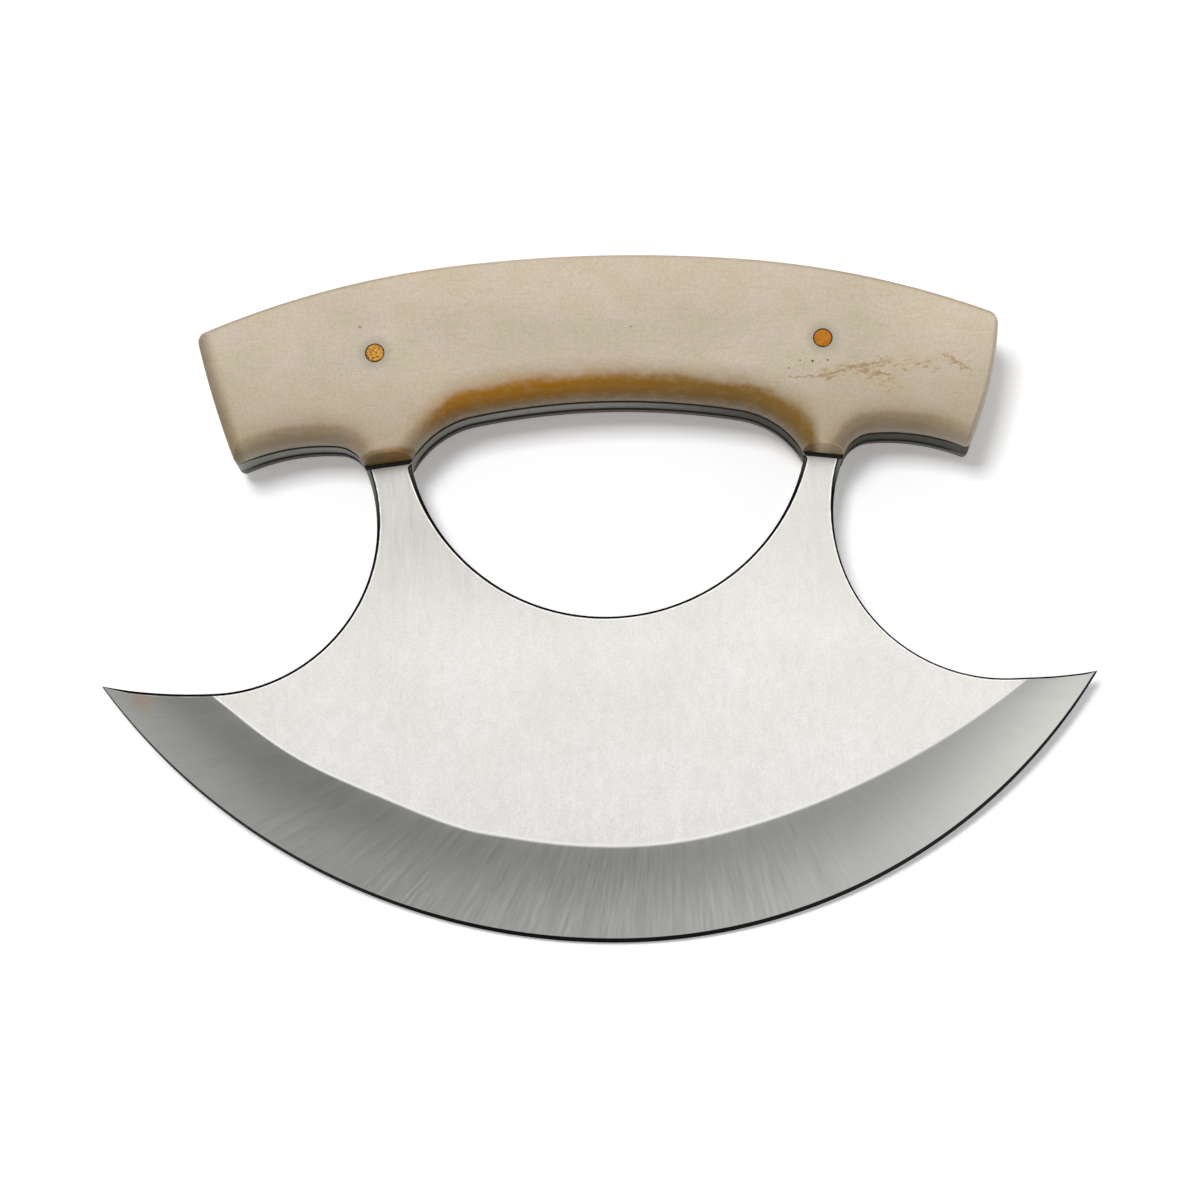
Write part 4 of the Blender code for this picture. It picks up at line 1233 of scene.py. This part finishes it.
# Brass pins
# Two lengths of 1/8 inch brass rod through scales and tang, sanded flush with the bone at both ends. The
# left one is left grainy by the sanding, the right one is smooth and darker.

# From the middle of a pin's end outwards: the share of the radius and the drop below the bone's face.
PIN_END = np.array(
    [
        (0, 0), (0.3, 0), (0.6, -0.00001), (0.85, -0.00003),
        (0.95, -0.00006), (1.0, -0.00012), (1.0, -0.0006),
    ]
)


def brass_look(tree, light, dark, grain, depth):
    """Brass whose sanded end is grainy, with a dark ring where it meets the bone."""
    noise = knife_coordinates(tree).noise(grain, 3.0, 0.65)
    colour = noise.spread(0.38, 0.62).blend(dark, light)
    return {
        "Base Color": attribute(tree, "ring").spread(0.88, 1.0).blend(colour, (0.06, 0.045, 0.02)),
        "Metallic": 1.0,
        "Roughness": noise.spread(0.3, 0.7, 0.30, 0.5),
        "Normal": noise.bumps(depth, 0.6),
    }


def add_pin(side, label, material):
    """A turned rod: the profile of its two ends carried round the axis. Each end is slightly domed and
    drops into the ring of glue round it."""
    profile = np.concatenate([PIN_END, PIN_END[::-1]])
    faces = np.repeat([1, -1], len(PIN_END))[:, None]
    turns = np.linspace(0, 2 * np.pi, ROUND_STEPS, endpoint=False)
    share = profile[:, :1] + 0 * turns
    u = side * PIN_HALF_SPACING + PIN_RADIUS * share * np.cos(turns)
    v = PIN_HEIGHT[side] + PIN_RADIUS * share * np.sin(turns)
    shell = Shell()
    shell.add_grid(u, v, faces * (SCALE_FACE + profile[:, 1:]) + 0 * turns, closed=True, ring=share)
    shell.finish(f"{label}_brass_pin", (), material, f"{label}_pin")


# The light and the dark tone, how fine the grain is and how deep.
GRAINY = ((0.72, 0.41, 0.085), (0.24, 0.09, 0.017), 3600.0, 0.00006)
SMOOTH = ((0.47, 0.185, 0.024), (0.32, 0.105, 0.013), 2200.0, 0.00002)
add_pin(LEFT, "left", new_material("grainy_brass", brass_look, *GRAINY))
add_pin(RIGHT, "right", new_material("smooth_brass", brass_look, *SMOOTH))


# Table, light and camera
# A white table that bends up into a backdrop, in a dim grey room. One soft lamp almost overhead, to the
# left and behind the handle, gives the shadow and shows in no mirroring. The flats mirror one pale card,
# the right half of the bevel another, and the cards light nothing else.

TABLE_GLOW = 0.245
FAR_TABLE_GLOW = 0.78
TABLE_REACH = 1.9
BACKDROP_BEND = 0.6
BACKDROP_TOP = 1.6


def table_look(tree):
    """White paint. What looks straight at it sees it glow as well, so that it is white without more light
    on the knife, the more so the further it is from the knife."""
    seen = add_node(tree, "ShaderNodeLightPath").outputs
    camera, glossy = Value(tree, seen["Is Camera Ray"]), Value(tree, seen["Is Glossy Ray"])
    straight_look = camera.at_least(glossy).at_least(Value(tree, seen["Is Transmission Ray"]))
    from_knife = add_value(tree, "ShaderNodeTexCoord", output="Object").vector("LENGTH", output="Value")
    return {
        "Base Color": (0.92, 0.92, 0.92),
        "Roughness": 0.9,
        "Emission Color": (1, 1, 1),
        "Emission Strength": straight_look * from_knife.spread(0.13, 1.6, TABLE_GLOW, FAR_TABLE_GLOW),
    }


# Table and backdrop are a flat disc, a quarter of a circle upwards and a straight wall, carried round the
# middle.
turns = np.linspace(0, 2 * np.pi, 96, endpoint=False)
bends = np.linspace(0, np.pi / 2, 13)
radii = TABLE_REACH + np.concatenate([[-0.1], BACKDROP_BEND * np.sin(bends), [BACKDROP_BEND]])[:, None]
rises = np.concatenate([[0], BACKDROP_BEND * (1 - np.cos(bends)), [BACKDROP_TOP]])[:, None]
backdrop = Shell()
u, v = radii * np.cos(turns), radii * np.sin(turns)
backdrop.add_grid(u, v, rises + 0 * turns, closed=True, flipped=True)
table_mesh = bpy.data.meshes.new("white_table")
table_faces = [list(range(len(turns)))] + np.concatenate(backdrop.faces).tolist()
table_mesh.from_pydata(np.concatenate(backdrop.points), [], table_faces)
table_mesh.shade_smooth()
table_mesh.materials.append(new_material("white_table", table_look))
table = bpy.data.objects.new("white_table", table_mesh)
bpy.context.scene.collection.objects.link(table)

room = bpy.data.worlds.new("dim_room")
room.use_nodes = True
bpy.context.scene.world = room
set_inputs(room.node_tree.nodes["Background"], {"Color": (0.25, 0.25, 0.255), "Strength": 1.0})


def add_soft_light(name, place, aim, size, brightness):
    """A rectangular lamp that faces a point. Its power is brightness times pi times its area, so that
    something white that sees nothing else looks that bright."""
    lamp = bpy.data.lights.new(name, "AREA")
    lamp.shape = "RECTANGLE"
    lamp.size, lamp.size_y = size
    lamp.energy = brightness * np.pi * size[0] * size[1]
    holder = bpy.data.objects.new(name, lamp)
    holder.location = place
    away = np.array(place) - np.array(aim)
    away = away / np.sqrt(np.sum(away**2))
    right = np.cross((0, 1, 0), away)
    right = right / np.sqrt(np.sum(right**2))
    turn = np.stack([right, np.cross(away, right), away], axis=1)
    holder.rotation_euler = Matrix(turn).to_euler()
    bpy.context.scene.collection.objects.link(holder)
    return holder


key_lamp = add_soft_light("key_lamp", (-0.30, 0.17, 1.43), (0, 0, 0), (0.40, 0.40), 28.0)
key_lamp.visible_glossy = False
flat_card = add_soft_light("card_over_handle", (0, 0.30, 0.80), (0, 0.30, 0), (1.1, 0.76), 1.24)
flat_card.visible_diffuse = False
right_card = add_soft_light("card_on_right", (0.485, -0.28, 0.80), (0.485, -0.28, 0), (0.49, 0.50), 1.43)
right_card.visible_diffuse = False

# Where the camera stands and how it is turned, both seen from the knife's own axes.
CAMERA_PLACE = (0.0144024, -0.0453949, 0.4914185)
CAMERA_TURN = np.radians((11.768, 1.944, -0.911))

lens = bpy.data.cameras.new("camera")
lens.lens = 90
lens.sensor_width = 36
lens.clip_start = 0.01
camera = bpy.data.objects.new("camera", lens)
camera.location = lie_down @ np.array(CAMERA_PLACE) + knife_place
camera.rotation_euler = (Matrix(lie_down) @ Euler(CAMERA_TURN).to_matrix()).to_euler()
bpy.context.scene.collection.objects.link(camera)
bpy.context.scene.camera = camera
bpy.context.scene.view_settings.view_transform = "Standard"
